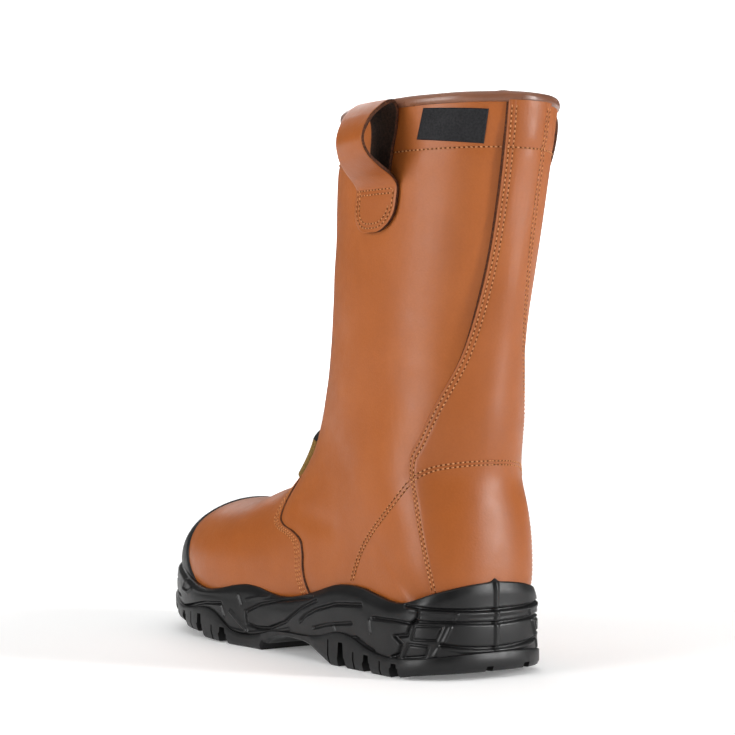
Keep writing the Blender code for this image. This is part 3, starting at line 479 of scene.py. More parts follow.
def along(table, count=60):
    t = np.linspace(0, len(table) - 1, count)
    n = np.arange(len(table))
    return [smooth(n, [row[k] for row in table], t) for k in range(len(table[0]))]


FOLD_LINES = {side: [(surf(*along(f.line), side)[0], f.depth, f.width) for f in FOLDS] for side in (1, -1)}
# double row from the sole up to the counter's corner and across its top, outer half; the inner half mirrors it
CROSS_ROW = [(38.9, 78.6, 36.5), (39.3, 77.3, 40.5), (39.6, 75.9, 44.7), (39.9, 72.5, 52.3), (40.0, 68.0, 59.8), (40.5, 60.2, 69.2),
             (40.6, 49.0, 78.4), (40.0, 40.6, 86.0), (38.3, 34.7, 93.1), (36.0, 30.5, 99.0), (34.5, 28.4, 101.8),
             (31.4, 24.4, 104.8), (27.6, 20.5, 107.3), (22.9, 16.3, 109.0), (12.9, 10.2, 110.5), (6.0, 8.0, 110.9),
             (-1.8, 7.2, 111.0)]
ROW_GAP = 1.05              # half the distance between the two rows of a double stitch
CROSS = np.stack(along(CROSS_ROW, 320), 1)
CROSS_LINES = {1: CROSS, -1: CROSS * (-1, 1, 1) + (-3.0, 0, 0)}


def base_rise(u, v, side, p):
    """How far the leather of the shaft and foot stands off its plain surface, in mm."""
    out = np.zeros(p.shape[:-1])
    for sg in (1, -1):
        m = side == sg
        if not m.any():
            continue
        q, qu, qv = p[m], u[m], v[m]
        x, s, z = q[:, 0], q[:, 1], q[:, 2]
        calm = soft(z, 55, 90) * (1 - soft(z, 262, 280))
        d = calm * (.22 * np.sin(.061 * s + .043 * z + 1.1 * sg) + .18 * np.sin(.11 * x - .052 * z + .4)
                    + .12 * np.sin(.083 * z + .07 * s + 2.0))
        for line, depth, width in FOLD_LINES[sg]:
            d += depth * np.exp(-(near(q, line[::2]) / width)**2)
        edge = near(q, VAMP_LINE[sg][::2])
        d -= np.where(qu > vamp_row(qv) - .4, VAMP_DIP * np.exp(-(edge / 4.5)**2), VAMP_DIP)
        d -= .35 * np.exp(-((z - COLLAR_SEAM) / 2.6)**2)
        outside = np.maximum((qv - panel_reach(qu)) * row_length(qu, 1), 0)
        d -= STRIP_DIP * np.exp(-(outside / 8.0)**2) * soft(z, 150, 200) * (1 - soft(z, 276, 288))
        out[m] = d
    return out


def base_skin(u, v, side):
    u, v, side = np.broadcast_arrays(np.asarray(u, float), np.asarray(v, float), np.asarray(side))
    p, n = surf(u, v, side)
    return p + n * base_rise(u, v, side, p)[..., None], n


# ---------------------------------------------------------------- meshes
def world(p):
    p = np.asarray(p, float)
    return np.stack([(p[..., 0] - MID_X) * .001, (MID_S - p[..., 1]) * .001, p[..., 2] * .001], -1)


def add_mesh(name, points, faces, materials, face_material=None, smooth_angle=None):
    """A piece from points in shoe coordinates."""
    mesh = bpy.data.meshes.new(name)
    mesh.from_pydata(world(points).tolist(), [], faces)
    mesh.validate()
    for m in materials:
        mesh.materials.append(m)
    if face_material is not None and len(face_material) == len(mesh.polygons):
        mesh.polygons.foreach_set("material_index", np.asarray(face_material, np.int32))
    mesh.shade_smooth()
    if smooth_angle:
        mesh.set_sharp_from_angle(angle=smooth_angle)
    mesh.update()
    obj = bpy.data.objects.new(name, mesh)
    bpy.context.scene.collection.objects.link(obj)
    return obj


def tidy(obj, weld=2e-6):
    """Weld doubled points and dissolve degenerate edges."""
    bm = bmesh.new()
    bm.from_mesh(obj.data)
    bmesh.ops.remove_doubles(bm, verts=bm.verts, dist=weld)
    bmesh.ops.dissolve_degenerate(bm, dist=1e-8, edges=bm.edges)
    bm.to_mesh(obj.data)
    bm.free()
    return obj


def grid_faces(r, c, wrap_r=False, wrap_c=False, flip=False):
    i, j = np.meshgrid(np.arange(r if wrap_r else r - 1), np.arange(c if wrap_c else c - 1), indexing="ij")
    i2, j2 = (i + 1) % r, (j + 1) % c
    quads = np.stack([i * c + j, i * c + j2, i2 * c + j2, i2 * c + j], -1).reshape(-1, 4)
    return quads[:, ::-1] if flip else quads


def facing(points, faces, normals):
    """Turn the faces so that they look along the given normals."""
    p, n = world(points), np.asarray(normals, float) * (1, -1, 1)
    f = np.asarray(faces)
    got = np.cross(p[f[:, 2]] - p[f[:, 0]], p[f[:, 3]] - p[f[:, 1]])
    return f[:, ::-1] if (got * n[f[:, 0]]).sum() < 0 else f


def grid_piece(name, pts, nrm, materials, face_material=None, wrap_c=False, smooth_angle=None):
    r, c = pts.shape[:2]
    flat, nf = pts.reshape(-1, 3), nrm.reshape(-1, 3)
    faces = facing(flat, grid_faces(r, c, wrap_c=wrap_c), nf)
    return tidy(add_mesh(name, flat, faces.tolist(), materials, face_material, smooth_angle))


def both_sides(v):
    """Columns from the outer low end over the top to the inner low end."""
    return np.concatenate([v, v[::-1][1:]]), np.concatenate([np.ones(len(v), int), -np.ones(len(v) - 1, int)])


def give(obj, slot, *nodes):
    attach(obj, "root")
    if nodes:
        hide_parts(*nodes)
    return obj


# ---------------------------------------------------------------- materials
class Look:
    def __init__(self, name):
        self.mat = bpy.data.materials.new(name)
        self.mat.use_nodes = True
        self.tree = self.mat.node_tree
        self.shader = self.tree.nodes["Principled BSDF"]
        self.coord = self.tree.nodes.new("ShaderNodeTexCoord").outputs["Object"]

    def node(self, kind, **inputs):
        n = self.tree.nodes.new(kind)
        for key, value in inputs.items():
            name = key.replace("_", " ").title()
            if isinstance(value, bpy.types.NodeSocket):
                self.tree.links.new(value, n.inputs[name])
            else:
                n.inputs[name].default_value = value
        return n

    def noise(self, scale, detail=3.0, rough=.55, stretch=None):
        where = self.coord
        if stretch:
            m = self.node("ShaderNodeMapping", vector=self.coord)
            m.inputs["Scale"].default_value = stretch
            where = m.outputs["Vector"]
        return self.node("ShaderNodeTexNoise", vector=where, scale=scale, detail=detail, roughness=rough).outputs["Fac"]

    def cells(self, scale, feature="SMOOTH_F1"):
        n = self.node("ShaderNodeTexVoronoi", vector=self.coord, scale=scale)
        n.feature = feature
        return n.outputs["Distance"]

    def ramp(self, fac, *stops):
        n = self.tree.nodes.new("ShaderNodeValToRGB")
        self.tree.links.new(fac, n.inputs["Fac"])
        e = n.color_ramp.elements
        while len(e) < len(stops):
            e.new(.5)
        for k, (pos, color) in enumerate(stops):
            e[k].position = pos
            e[k].color = (*color, 1)
        return n.outputs["Color"]

    def mix(self, fac, a, b, kind="MIX"):
        n = self.tree.nodes.new("ShaderNodeMix")
        n.data_type = "RGBA"
        n.blend_type = kind
        for sock, value in ((n.inputs[0], fac), (n.inputs[6], a), (n.inputs[7], b)):
            if isinstance(value, bpy.types.NodeSocket):
                self.tree.links.new(value, sock)
            else:
                sock.default_value = value if not isinstance(value, tuple) else (*value, 1)
        return n.outputs[2]

    def between(self, fac, low, high, out_low, out_high):
        n = self.node("ShaderNodeMapRange", value=fac, from_min=low, from_max=high, to_min=out_low, to_max=out_high)
        return n.outputs["Result"]

    def bump(self, height, strength, distance, below=None):
        n = self.node("ShaderNodeBump", height=height, strength=strength, distance=distance)
        if below is not None:
            self.tree.links.new(below, n.inputs["Normal"])
        return n.outputs["Normal"]

    def link(self, name, socket):
        self.tree.links.new(socket, self.shader.inputs[name])

    def fixed(self, **inputs):
        for key, value in inputs.items():
            self.shader.inputs[key.replace("_", " ").title().replace("Ior", "IOR")].default_value = value
        return self.mat


def leather(name, dark, mid, light, grain=1.0, rough=(.35, .45), coat=.05):
    k = Look(name)
    broad = k.ramp(k.noise(26, 4), (.30, dark), (.52, mid), (.74, light))
    specks = k.ramp(k.noise(900, 3), (.36, tuple(c * .80 for c in mid)), (.60, tuple(min(c * 1.08, 1) for c in mid)))
    k.link("Base Color", k.mix(.22, broad, specks))
    k.link("Roughness", k.between(k.noise(140, 4), .3, .7, *rough))
    pebble = k.bump(k.cells(900), .22 * grain, .00024)
    fine = k.bump(k.noise(3600, 2), .10 * grain, .00012, pebble)
    k.link("Normal", k.bump(k.noise(120, 3), .13, .0006, fine))
    return k.fixed(specular_ior_level=.27, coat_weight=coat, coat_roughness=.30)


def rubber(name, dark, light, rough=(.40, .54), grain=1.0):
    k = Look(name)
    k.link("Base Color", k.ramp(k.noise(70, 5), (.30, dark), (.72, light)))
    k.link("Roughness", k.between(k.noise(210, 4), .3, .7, *rough))
    k.link("Normal", k.bump(k.noise(2600, 3), .07 * grain, .00015, k.bump(k.noise(240, 3), .04 * grain, .0004)))
    return k.fixed(specular_ior_level=.33)


def fabric(name, dark, light, scale=1500, rough=(.8, .95)):
    k = Look(name)
    k.link("Base Color", k.ramp(k.noise(scale * .4, 4), (.32, dark), (.70, light)))
    k.link("Roughness", k.between(k.noise(90, 3), .3, .7, *rough))
    k.link("Normal", k.bump(k.noise(scale, 3), .45, .0004))
    return k.fixed(specular_ior_level=.2)


TAN = ((.288, .076, .0130), (.321, .087, .0160), (.353, .101, .0210))
MAT_LEATHER = leather("tan_leather", *TAN)
MAT_PANEL = leather("tan_leather_panel", (.268, .071, .0130), (.299, .081, .0160), (.330, .095, .0210))
# the pull loops use the tan made about 6 % darker: painted shade for the shadowed loops
MAT_STRAP_SHADED = leather("tan_leather_strap_painted_shade", (.270, .072, .0130), (.301, .082, .0160), (.332, .095, .0210), 1.1)
MAT_BINDING = leather("brown_binding", (.145, .056, .030), (.190, .078, .042), (.235, .105, .062), .7, (.26, .34), .30)
MAT_RAW = fabric("raw_edge", (.020, .007, .0035), (.105, .034, .013), 2200, (.7, .9))
MAT_FLESH = fabric("flesh_side", (.016, .008, .005), (.052, .024, .013), 1700, (.75, .92))
MAT_LINING = fabric("lining", (.030, .022, .017), (.060, .044, .034), 1400)
MAT_FELT = fabric("felt", (.030, .027, .024), (.075, .066, .058), 1100)
MAT_THREAD = fabric("thread", (.40, .155, .055), (.62, .29, .120), 2600, (.5, .65))
# dark brown discs laid at the needle holes: painted shade for holes that are not cut
MAT_HOLE_SHADE = fabric("needle_hole_painted_shade", (.080, .022, .0045), (.135, .037, .0080), 2600, (.8, .9))
MAT_LABEL = fabric("woven_label", (.0065, .0065, .0075), (.018, .018, .020), 2400, (.6, .75))
MAT_OLIVE = fabric("olive_tag", (.125, .070, .013), (.220, .130, .032), 1900, (.55, .7))
MAT_TAG_END_AND_FOOT_SHADE = fabric("tag_end_and_foot_shade", (.008, .008, .008), (.02, .019, .017), 1900, (.55, .7))
MAT_CUP = rubber("cup_rubber", (.0026, .0026, .0028), (.0058, .0058, .0061), (.33, .42))
MAT_TREAD = rubber("tread_rubber", (.0036, .0036, .0038), (.0072, .0072, .0075), (.34, .46))
MAT_GUARD = rubber("guard_rubber", (.0036, .0036, .0038), (.0072, .0072, .0075), (.40, .52), 1.4)

# ---------------------------------------------------------------- upper: leather outside, lining inside


def toe_tip(pts, nrm):
    """Rows that close the front end in front of row 0."""
    ring, extra, normals = pts[0], [], []
    middle = ring.mean(0)
    for k in (.0, .35, .7):
        r = middle + (ring - middle) * k
        r[:, 1] = ring[:, 1] + .9 * (1 - k * k)
        extra.append(r)
        normals.append(np.tile([0.0, 1.0, 0.0], (len(r), 1)))
    return np.concatenate([np.array(extra), pts]), np.concatenate([np.array(normals), nrm])


def build_leather():
    u = np.linspace(0, COLLAR_ROW, COLLAR_ROW * 11 + 1)
    v, sides = both_sides(np.linspace(0, 1, 77))
    uu, vv = np.meshgrid(u, v, indexing="ij")
    p, n = base_skin(uu, vv, np.broadcast_to(sides, uu.shape))
    p[-1, :, 2] = COLLAR_HEIGHT
    return grid_piece("boot_leather", *toe_tip(p, n), [MAT_LEATHER])


def build_lining():
    u = np.linspace(0, COLLAR_ROW, COLLAR_ROW * 4 + 1)
    v, sides = both_sides(np.linspace(0, 1, 37))
    uu, vv = np.meshgrid(u, v, indexing="ij")
    p, n = surf(uu, vv, np.broadcast_to(sides, uu.shape))
    q = p - n * (WALL + .3)
    q[-1, :, 2] = COLLAR_HEIGHT
    return grid_piece("boot_lining", q, -n, [MAT_LINING])


def build_vamp():
    v, sides = both_sides(np.linspace(.03, 1, 84))
    edge = vamp_row(v)
    step = row_step(edge, v, sides)
    ladder = [(-1.15, -1.6), (-.95, -.72), (.15, .16), (.45, .33), (.9, .35), (1.6, .35), (2.6, .35), (3.6, .35), (4.6, .35),
              (5.6, .35), (6.6, .35), (7.8, .35), (9.5, .35), (12.0, .33)]
    rows_u = [edge - e / step for e, _ in ladder]
    rise = [np.full(len(v), h) for _, h in ladder]
    for k in np.linspace(0, 1, 46)[1:]:
        rows_u.append(rows_u[len(ladder) - 1] * (1 - k) + 4.2 * k)
        rise.append(np.full(len(v), .33 - .25 * k))
    uu, rr = np.array(rows_u), np.array(rise)
    vv, ss = np.broadcast_to(v, uu.shape), np.broadcast_to(sides, uu.shape)
    p, n = surf(uu, vv, ss)
    e = np.array([[x] for x, _ in ladder] + [[14 + 2 * k] for k in range(45)])
    groove = sum(np.exp(-((e - at) / .5)**2) for at in VAMP_ROWS)
    calm = .10 * np.sin(.09 * p[..., 1] + .05 * p[..., 2]) * soft(e, 8, 20)
    p = p + n * (rr - .16 * groove + calm)[..., None]
    mats = np.zeros((uu.shape[0] - 1, uu.shape[1] - 1), int)
    mats[:2] = 1
    return grid_piece("vamp", p, n, [MAT_LEATHER, MAT_RAW], mats.ravel())


VAMP_ROWS = (2.2, 4.2, 6.0)

# ---------------------------------------------------------------- back strip and counter
PANEL_ROWS = (1.8, 4.1)     # stitch rows in from the edge


def panel_rise(e):
    """Height of the panel over the shaft, by the distance in from its edge."""
    h = PANEL_HIGH * np.sqrt(1 - (1 - np.clip(e / 1.1, 0, 1))**2)
    for at in PANEL_ROWS:
        h = h - .22 * np.exp(-((e - at) / .55)**2)
    return .1 + h


def panel_skin(u, v, side):
    u, v, side = np.broadcast_arrays(np.asarray(u, float), np.asarray(v, float), np.asarray(side))
    p, n = surf(u, v, side)
    e = (panel_reach(u) - v) * row_length(u, 1)
    calm = .12 * np.sin(.07 * p[..., 2] + .5) + .10 * np.sin(.05 * p[..., 2] + .09 * p[..., 0])
    rise = panel_rise(np.maximum(e, 0)) + calm * soft(e, 0, 8) - .5 * np.exp(-((p[..., 2] - COLLAR_SEAM) / 3.0)**2) * soft(e, -.2, .6)
    rise = rise + .35 * np.sin(p[..., 2] * .075 - 1.2) * soft(e, 4, 12) * soft(p[..., 2], 150, 190) * (1 - soft(p[..., 2], 278, 290))
    for sg in (1, -1):
        rise = rise - np.where(side == sg, .2 * np.exp(-((near(p, CROSS_LINES[sg][::2]) - ROW_GAP) / .6)**2), 0)
    return p + n * rise[..., None], n


def build_panel():
    u = np.linspace(15.7, COLLAR_ROW, 200)
    reach, length = panel_reach(u), row_length(u, 1)
    # the first two columns flare the dark cut edge about 1 mm out beside the strip's edge, less low down: partly the
    # edge's own dark colour, partly a painted shadow line beside the strip
    border = [-1.0, -.8, 0, .1, .3, .6, 1.0, 1.4, 1.8, 2.2, 2.7, 3.2, 3.7, 4.1, 4.5, 5.0, 6.0, 7.2]
    fade = soft(surf(u, reach, 1)[0][:, 2], 140, 205)
    cols = [reach - e * (fade if e < 0 else 1) / length for e in border]
    last = cols[-1]
    cols += [last * (1 - k) for k in np.linspace(0, 1, 22)[1:]]
    half = np.array(cols).T
    vv = np.concatenate([half, half[:, ::-1][:, 1:]], 1)
    ss = np.concatenate([np.ones(half.shape[1], int), -np.ones(half.shape[1] - 1, int)])
    ss = np.broadcast_to(ss, vv.shape)
    uu = np.broadcast_to(u[:, None], vv.shape)
    p, n = panel_skin(uu, vv, ss)
    for k, down in ((0, 1.2), (1, -.02), (-1, 1.2), (-2, -.02)):
        q, m = base_skin(uu[:, k], vv[:, k], ss[:, k])
        p[:, k] = q - m * down
    p[-1, :, 2] = COLLAR_HEIGHT
    mats = np.zeros((p.shape[0] - 1, p.shape[1] - 1), int)
    # dark cut edge on the outer columns; where it is flared it is also a painted shadow line beside the strip
    mats[:, :3] = mats[:, -3:] = 1
    return grid_piece("back_strip_counter", p, n, [MAT_PANEL, MAT_RAW], mats.ravel())


# ---------------------------------------------------------------- toe guard, tag, label


def build_guard():
    v, sides = both_sides(np.linspace(.02, 1, 70))
    edge = table_at(GUARD_EDGE, "up", "row", v)
    step = row_step(edge, v, sides)
    ladder = [(0.0, -.6), (0.0, .15), (.25, .55), (.6, .85), (1.1, 1.08), (1.8, 1.24), (2.8, 1.36), (4.2, 1.42)]
    rows_u = [edge - e / step for e, _ in ladder]
    rise = [np.full(len(v), h) for _, h in ladder]
    for k in np.linspace(0, 1, 44)[1:]:
        rows_u.append(rows_u[len(ladder) - 1] * (1 - k))
        rise.append(np.full(len(v), 1.42))
    uu, rr = np.array(rows_u), np.array(rise)
    p, n = surf(uu, np.broadcast_to(v, uu.shape), np.broadcast_to(sides, uu.shape))
    p = p + n * rr[..., None]
    return grid_piece("bumper", *toe_tip(p[::-1], n[::-1]), [MAT_GUARD])


def build_tag():
    half = np.concatenate([[1.0, 1.0, .993, .983, .97, .955, .935, .91], np.linspace(.88, 0, 16)])
    v, sides = both_sides(1 - .18 * half)
    w = np.concatenate([-half, half[::-1][1:]])
    u = np.concatenate([[10.5], 10.5 + 1.75 * np.array([0, .004, .01, .02, .035]), np.linspace(10.6, 12.15, 60),
                        12.25 - 1.75 * np.array([.035, .02, .01, .004, 0]), [12.25]])
    uu, vv = np.meshgrid(u, v, indexing="ij")
    p, n = surf(uu, vv, np.broadcast_to(sides, uu.shape))
    t = np.clip((uu - 10.5) / 1.75, 0, 1)
    ends = np.minimum(t, 1 - t) * 30.0
    sides_in = (1 - np.abs(w))[None] * 17.0
    inner = np.minimum(ends, np.broadcast_to(sides_in, ends.shape))
    rise = .25 + 3.2 * np.sqrt(1 - (1 - np.clip(inner / 1.3, 0, 1))**2) + .07 * np.sin(t * 150) * soft(inner, .4, 1.2)
    rise[0] = rise[-1] = -.4
    rise[:, 0] = rise[:, -1] = -.4
    p = p + n * rise[..., None]
    # the black top end is the tag's own colour; the dark ring at the tag's foot is a painted shadow line where it meets
    # the leather
    dark = (t[1:, 1:] > .972) | (np.minimum(rise[1:, 1:], rise[1:, :-1]) < 0)
    mats = dark.astype(int)
    return grid_piece("instep_tag", p, n, [MAT_OLIVE, MAT_TAG_END_AND_FOOT_SHADE], mats.ravel())


LABEL = [(33.5, 18, 294), (13.3, -11.4, 292), (14.2, -8.3, 274.6), (34.3, 22.3, 277.6)]


def label_skin(a, b, lift):
    """a runs back along the label, b down it."""
    c = np.array([row_at(p, 1) for p in LABEL])
    uv = ((1 - a) * (1 - b))[..., None] * c[0] + (a * (1 - b))[..., None] * c[1] \
        + (a * b)[..., None] * c[2] + ((1 - a) * b)[..., None] * c[3]
    p, n = base_skin(uv[..., 0], uv[..., 1], np.ones(a.shape, int))
    return p + n * np.asarray(lift)[..., None], n


def build_label():
    a = np.concatenate([[0], np.linspace(0, 1, 60), [1]])
    b = np.concatenate([[0], np.linspace(0, 1, 34), [1]])
    aa, bb = np.meshgrid(a, b, indexing="ij")
    inner = np.minimum(np.minimum(aa, 1 - aa) * 36, np.minimum(bb, 1 - bb) * 18)
    lift = .25 + .42 * np.sqrt(1 - (1 - np.clip(inner / .5, 0, 1))**2) - .16 * soft(inner, 1.0, 1.5)
    lift[0] = lift[-1] = -.4
    lift[:, 0] = lift[:, -1] = -.4
    return grid_piece("blank_label", *label_skin(aa, bb, lift), [MAT_LABEL])


# ---------------------------------------------------------------- binding


def build_binding():
    v = np.linspace(0, 1, 111)
    vv, ss = np.concatenate([v, v[::-1][1:-1]]), np.concatenate([np.ones(len(v), int), -np.ones(len(v) - 2, int)])
    p, n = surf(np.full(len(vv), float(COLLAR_ROW)), vv, ss)
    n[:, 2] = 0
    n /= np.linalg.norm(n, axis=1)[:, None]
    centre = p - n * (WALL / 2)
    seam = np.exp(-((vv - .085) / .016)**2) * (ss > 0)
    thick = 1 + .10 * np.sin(np.arange(len(vv)) * .37) * .25 + .22 * seam
    low = -.9
    profile = [(1.0, low), (1.30, low), (2.35, low + .5), (2.62, .9), (2.60, 2.0), (2.30, 3.2), (1.55, 4.2), (.6, 4.68), (-.6, 4.68),
               (-1.55, 4.2), (-2.30, 3.2), (-2.55, 2.0), (-2.45, .6), (-2.2, low - .8), (-1.2, low - 1.4)]
    rings = np.stack([centre + n * (x * thick)[:, None] + np.stack([0 * vv, 0 * vv, z + (thick - 1) * 2 * (z > 1)], 1)
                      for x, z in profile], 1)
    mid = centre + np.array([0, 0, 2.0])
    return grid_piece("rolled_binding", rings.transpose(1, 0, 2), (rings - mid[:, None]).transpose(1, 0, 2),
                      [MAT_BINDING], wrap_c=True)


# ---------------------------------------------------------------- pull loops
SHAFT_CACHE = {}


def shaft_grid(side):
    if side not in SHAFT_CACHE:
        ss, zz = np.linspace(22, 84, 63), np.linspace(215, COLLAR_HEIGHT, 82)
        x = np.empty((len(ss), len(zz)))
        g = FINE[side][0][int(17 / U_STEP):]
        for i, s in enumerate(ss):
            xs, zs = [], []
            for line in g[::4]:
                xs.append(np.interp(s, line[:, 1], line[:, 0]))
                zs.append(np.interp(s, line[:, 1], line[:, 2]))
            x[i] = np.interp(zz, zs, xs)
        SHAFT_CACHE[side] = ss, zz, x
    return SHAFT_CACHE[side]


def shaft_x(s, z, side):
    ss, zz, x = shaft_grid(side)
    a, b = np.clip((s - ss[0]) / (ss[1] - ss[0]), 0, len(ss) - 1.001), np.clip((z - zz[0]) / (zz[1] - zz[0]), 0, len(zz) - 1.001)
    i, j = a.astype(int), b.astype(int)
    f, g = a - i, b - j
    return x[i, j] * (1 - f) * (1 - g) + x[i + 1, j] * f * (1 - g) + x[i, j + 1] * (1 - f) * g + x[i + 1, j + 1] * f * g


def beside_shaft(s, z, off, side):
    s, z, off = np.broadcast_arrays(np.asarray(s, float), np.asarray(z, float), np.asarray(off, float))
    slope = (shaft_x(s + 2, z, side) - shaft_x(s - 2, z, side)) / 4
    n = np.stack([np.full(s.shape, float(side)), -slope * side], -1)
    n /= np.linalg.norm(n, axis=-1)[..., None]
    return np.stack([shaft_x(s, z, side) + n[..., 0] * off, s + n[..., 1] * off, z], -1), n


TAB_LEAN = .20              # the sewn ends lean forward going down
LOOP_FLAT = 289.0           # the top of each loop is pressed down a little above this height


def loop_rows(table, end, count=110):
    n = np.arange(len(table))
    rows = [[float(smooth(n, column(table, f), k)) for f in Strap._fields] for k in np.linspace(0, len(table) - 1, count)]
    off, z0, rear, front, _ = rows[-1]
    for a in np.linspace(0, 1, 34)[1:]:
        z = z0 + (end - z0) * sin(a * pi / 2)
        over = min(max(0.0, end + TAB_CORNER - z), TAB_CORNER)
        trim = TAB_CORNER - np.sqrt(max(TAB_CORNER**2 - over**2, 0.0))
        lean = TAB_LEAN * (z0 - z)
        rows.append([off, z, rear + trim + lean, front - trim + lean, 1.0])
    rows = np.array(rows)
    rows[:, 1] -= .22 * np.maximum(rows[:, 1] - LOOP_FLAT, 0)
    return rows


def build_strap(name, table, side, end):
    rows = loop_rows(table, end)
    off, z, rear, front, share = rows.T
    t = np.gradient(rows[:, :2], axis=0)
    t /= np.maximum(np.hypot(t[:, 0], t[:, 1]), 1e-9)[:, None]
    f = np.stack([t[:, 1], -t[:, 0]], 1)
    k = np.linspace(0, 1, 25)
    face = [(a, -1.0) for a in k] + [("front", -.72), ("front", 0.0), ("front", .72)] \
        + [(a, 1.0) for a in k[::-1]] + [("rear", .72), ("rear", 0.0), ("rear", -.72)]
    rings = []
    width = np.maximum(front - rear, .5)
    for a, sign in face:
        bulge = 0.0
        if a in ("front", "rear"):
            bulge = .32 * (1 - .6 * abs(sign))
            share_k = np.full(len(rows), 1.0 if a == "front" else 0.0)
            s = front + bulge if a == "front" else rear - bulge
        else:
            share_k = np.full(len(rows), a)
            s = rear + width * a
        ripple = 1 + .05 * np.sin(np.arange(len(rows)) * .45 + share_k * 3)
        o = off * (1 - share_k * (1 - share)) + f[:, 0] * sign * STRAP_THICK / 2 * ripple
        h = z + f[:, 1] * sign * STRAP_THICK / 2 * ripple
        p, n = beside_shaft(s, h, o, side)
        rings.append(p)
    rings = np.stack(rings, 1)
    centre = rings.mean(1, keepdims=True)
    m = np.zeros((len(rows) - 1, len(face)), int)
    c = len(k)
    m[:, c - 1:c + 3] = 1
    m[:, c + 3:2 * c + 2] = 2
    m[:, 2 * c + 2:] = 1
    flat, nf = rings.reshape(-1, 3), (rings - centre).reshape(-1, 3)
    faces = facing(flat, grid_faces(len(rows), len(face), wrap_c=True), nf).tolist()
    mats = m.ravel().tolist()
    for row, flip in ((0, True), (len(rows) - 1, False)):
        base = row * len(face)
        lower = [base + i for i in range(c)]
        upper = [base + 2 * c + 2 - i for i in range(c)]
        for i in range(c - 1):
            faces.append([lower[i], lower[i + 1], upper[i + 1], upper[i]])
            mats.append(1)
    obj = add_mesh(name, flat, faces, [MAT_STRAP_SHADED, MAT_RAW, MAT_FLESH], mats)
    bm = bmesh.new()
    bm.from_mesh(obj.data)
    bmesh.ops.remove_doubles(bm, verts=bm.verts, dist=2e-6)
    bmesh.ops.recalc_face_normals(bm, faces=bm.faces)
    bm.to_mesh(obj.data)
    bm.free()
    return obj


# ---------------------------------------------------------------- sole
Relief = namedtuple("Relief", "rise width line")
RELIEF = [
    # heel: bands, jagged joint and small panels
    Relief(-1.0, .75, [(53, 37.8), (42, 37.1), (30, 36.4), (16, 35.8), (0, 35.5)]),
    Relief(.45, 1.1, [(50, 35.9), (42, 35.2), (30, 34.5), (16, 33.9), (0, 33.6)]),
    Relief(-.9, .75, [(78, 29.3), (60, 29.7), (49, 29.1), (44, 30.2), (30, 30.0), (12, 29.2), (0, 28.7)]),
    Relief(-1.1, .85, [(44, 35.5), (44.6, 32), (48.4, 28), (50.4, 23), (59.3, 21.7), (53.8, 18.2), (56.8, 12.6), (62, 10)]),
    Relief(-.7, .6, [(46, 28), (31, 28), (34.2, 21), (47.5, 20.8), (46, 28)]),
    Relief(-.7, .6, [(49.6, 18.4), (38.4, 17.9), (40.2, 12.6), (53, 11), (49.6, 18.4)]),
    Relief(.9, .9, [(27, 27.4), (30.4, 20.4)]),
    Relief(.7, .8, [(23.6, 34.2), (25.4, 31.2)]),
    Relief(.7, .8, [(33.2, 16.6), (35.6, 12.8)]),
    Relief(-.8, .75, [(32, 18.6), (22, 17.3), (10, 16.2), (0, 15.8)]),
    Relief(.5, .9, [(29, 16.8), (22, 15.5), (10, 14.4), (0, 14.0)]),
    Relief(.6, .7, [(80.6, 27.6), (79.6, 21.4)]),
    # forefoot and arch: curved panels and slanting bars
    Relief(-.8, .8, [(281, 15.4), (264, 18.3), (245, 21.7), (226.5, 23.2)]),
    Relief(.7, .9, [(226.5, 21.6), (223, 16.2)]),
    Relief(1.0, 1.1, [(216.4, 19.2), (209.3, 14.6), (201.4, 9.6)]),
    Relief(.6, .7, [(210, 29.3), (206.6, 24.2)]),
    Relief(.5, .7, [(202, 27.1), (192.4, 29.2), (180.5, 31.2)]),
    Relief(-.8, .8, [(136, 34.6), (151, 32.4), (168, 29.9), (189, 25.7), (202, 20.7), (200.5, 13.6), (190.7, 12.4), (179, 13.2),
                     (161.5, 18.7), (154.7, 23), (144.5, 28.6), (131, 33.5)]),
    Relief(.4, 1.0, [(218, 9.1), (200.5, 8.2), (172, 12), (158, 14.9)]),
    Relief(-.7, .8, [(211.6, 6.6), (192.4, 7), (168.3, 11)]),
    Relief(-.8, .9, [(146, 20.7), (141, 24.4), (131, 28.6), (112, 33.3), (89, 35.0)]),
    Relief(-.6, .8, [(132.7, 18.4), (120, 21.5), (109, 23.1), (96.7, 24.7)]),
    Relief(.5, .7, [(113.5, 21.7), (111.7, 17.9)]),
    Relief(-.8, .8, [(127.8, 11.6), (115, 12.2), (100, 16.0), (92, 17.2), (84.6, 14.0), (77, 12.0)]),
    # toe
    Relief(.6, 1.0, [(266.4, 36.2), (277, 31), (280, 26.5), (270, 25.4), (263.6, 28)]),
    Relief(-.6, .8, [(300, 30), (325, 31.5), (364, 31.5)]),
    Relief(-.6, .8, [(285, 22), (320, 23.4), (364, 23.4)]),
]


def relief_rise(way, z):
    q = np.stack([way, z], -1)
    out = np.zeros(way.shape)
    for rise, width, line in RELIEF:
        line = np.array(line, float)
        best = np.full(way.shape, 1e9)
        for a, b in zip(line[:-1], line[1:]):
            t = np.clip(((q - a) @ (b - a)) / ((b - a) @ (b - a)), 0, 1)
            best = np.minimum(best, np.linalg.norm(q - a - t[..., None] * (b - a), axis=-1))
        out += 1.25 * rise * np.exp(-(best / width)**4) if rise > 0 else 1.9 * rise * np.exp(-(best / (1.1 * width))**4)
    out += .85 * np.exp(-(way / 1.25)**4)
    return out


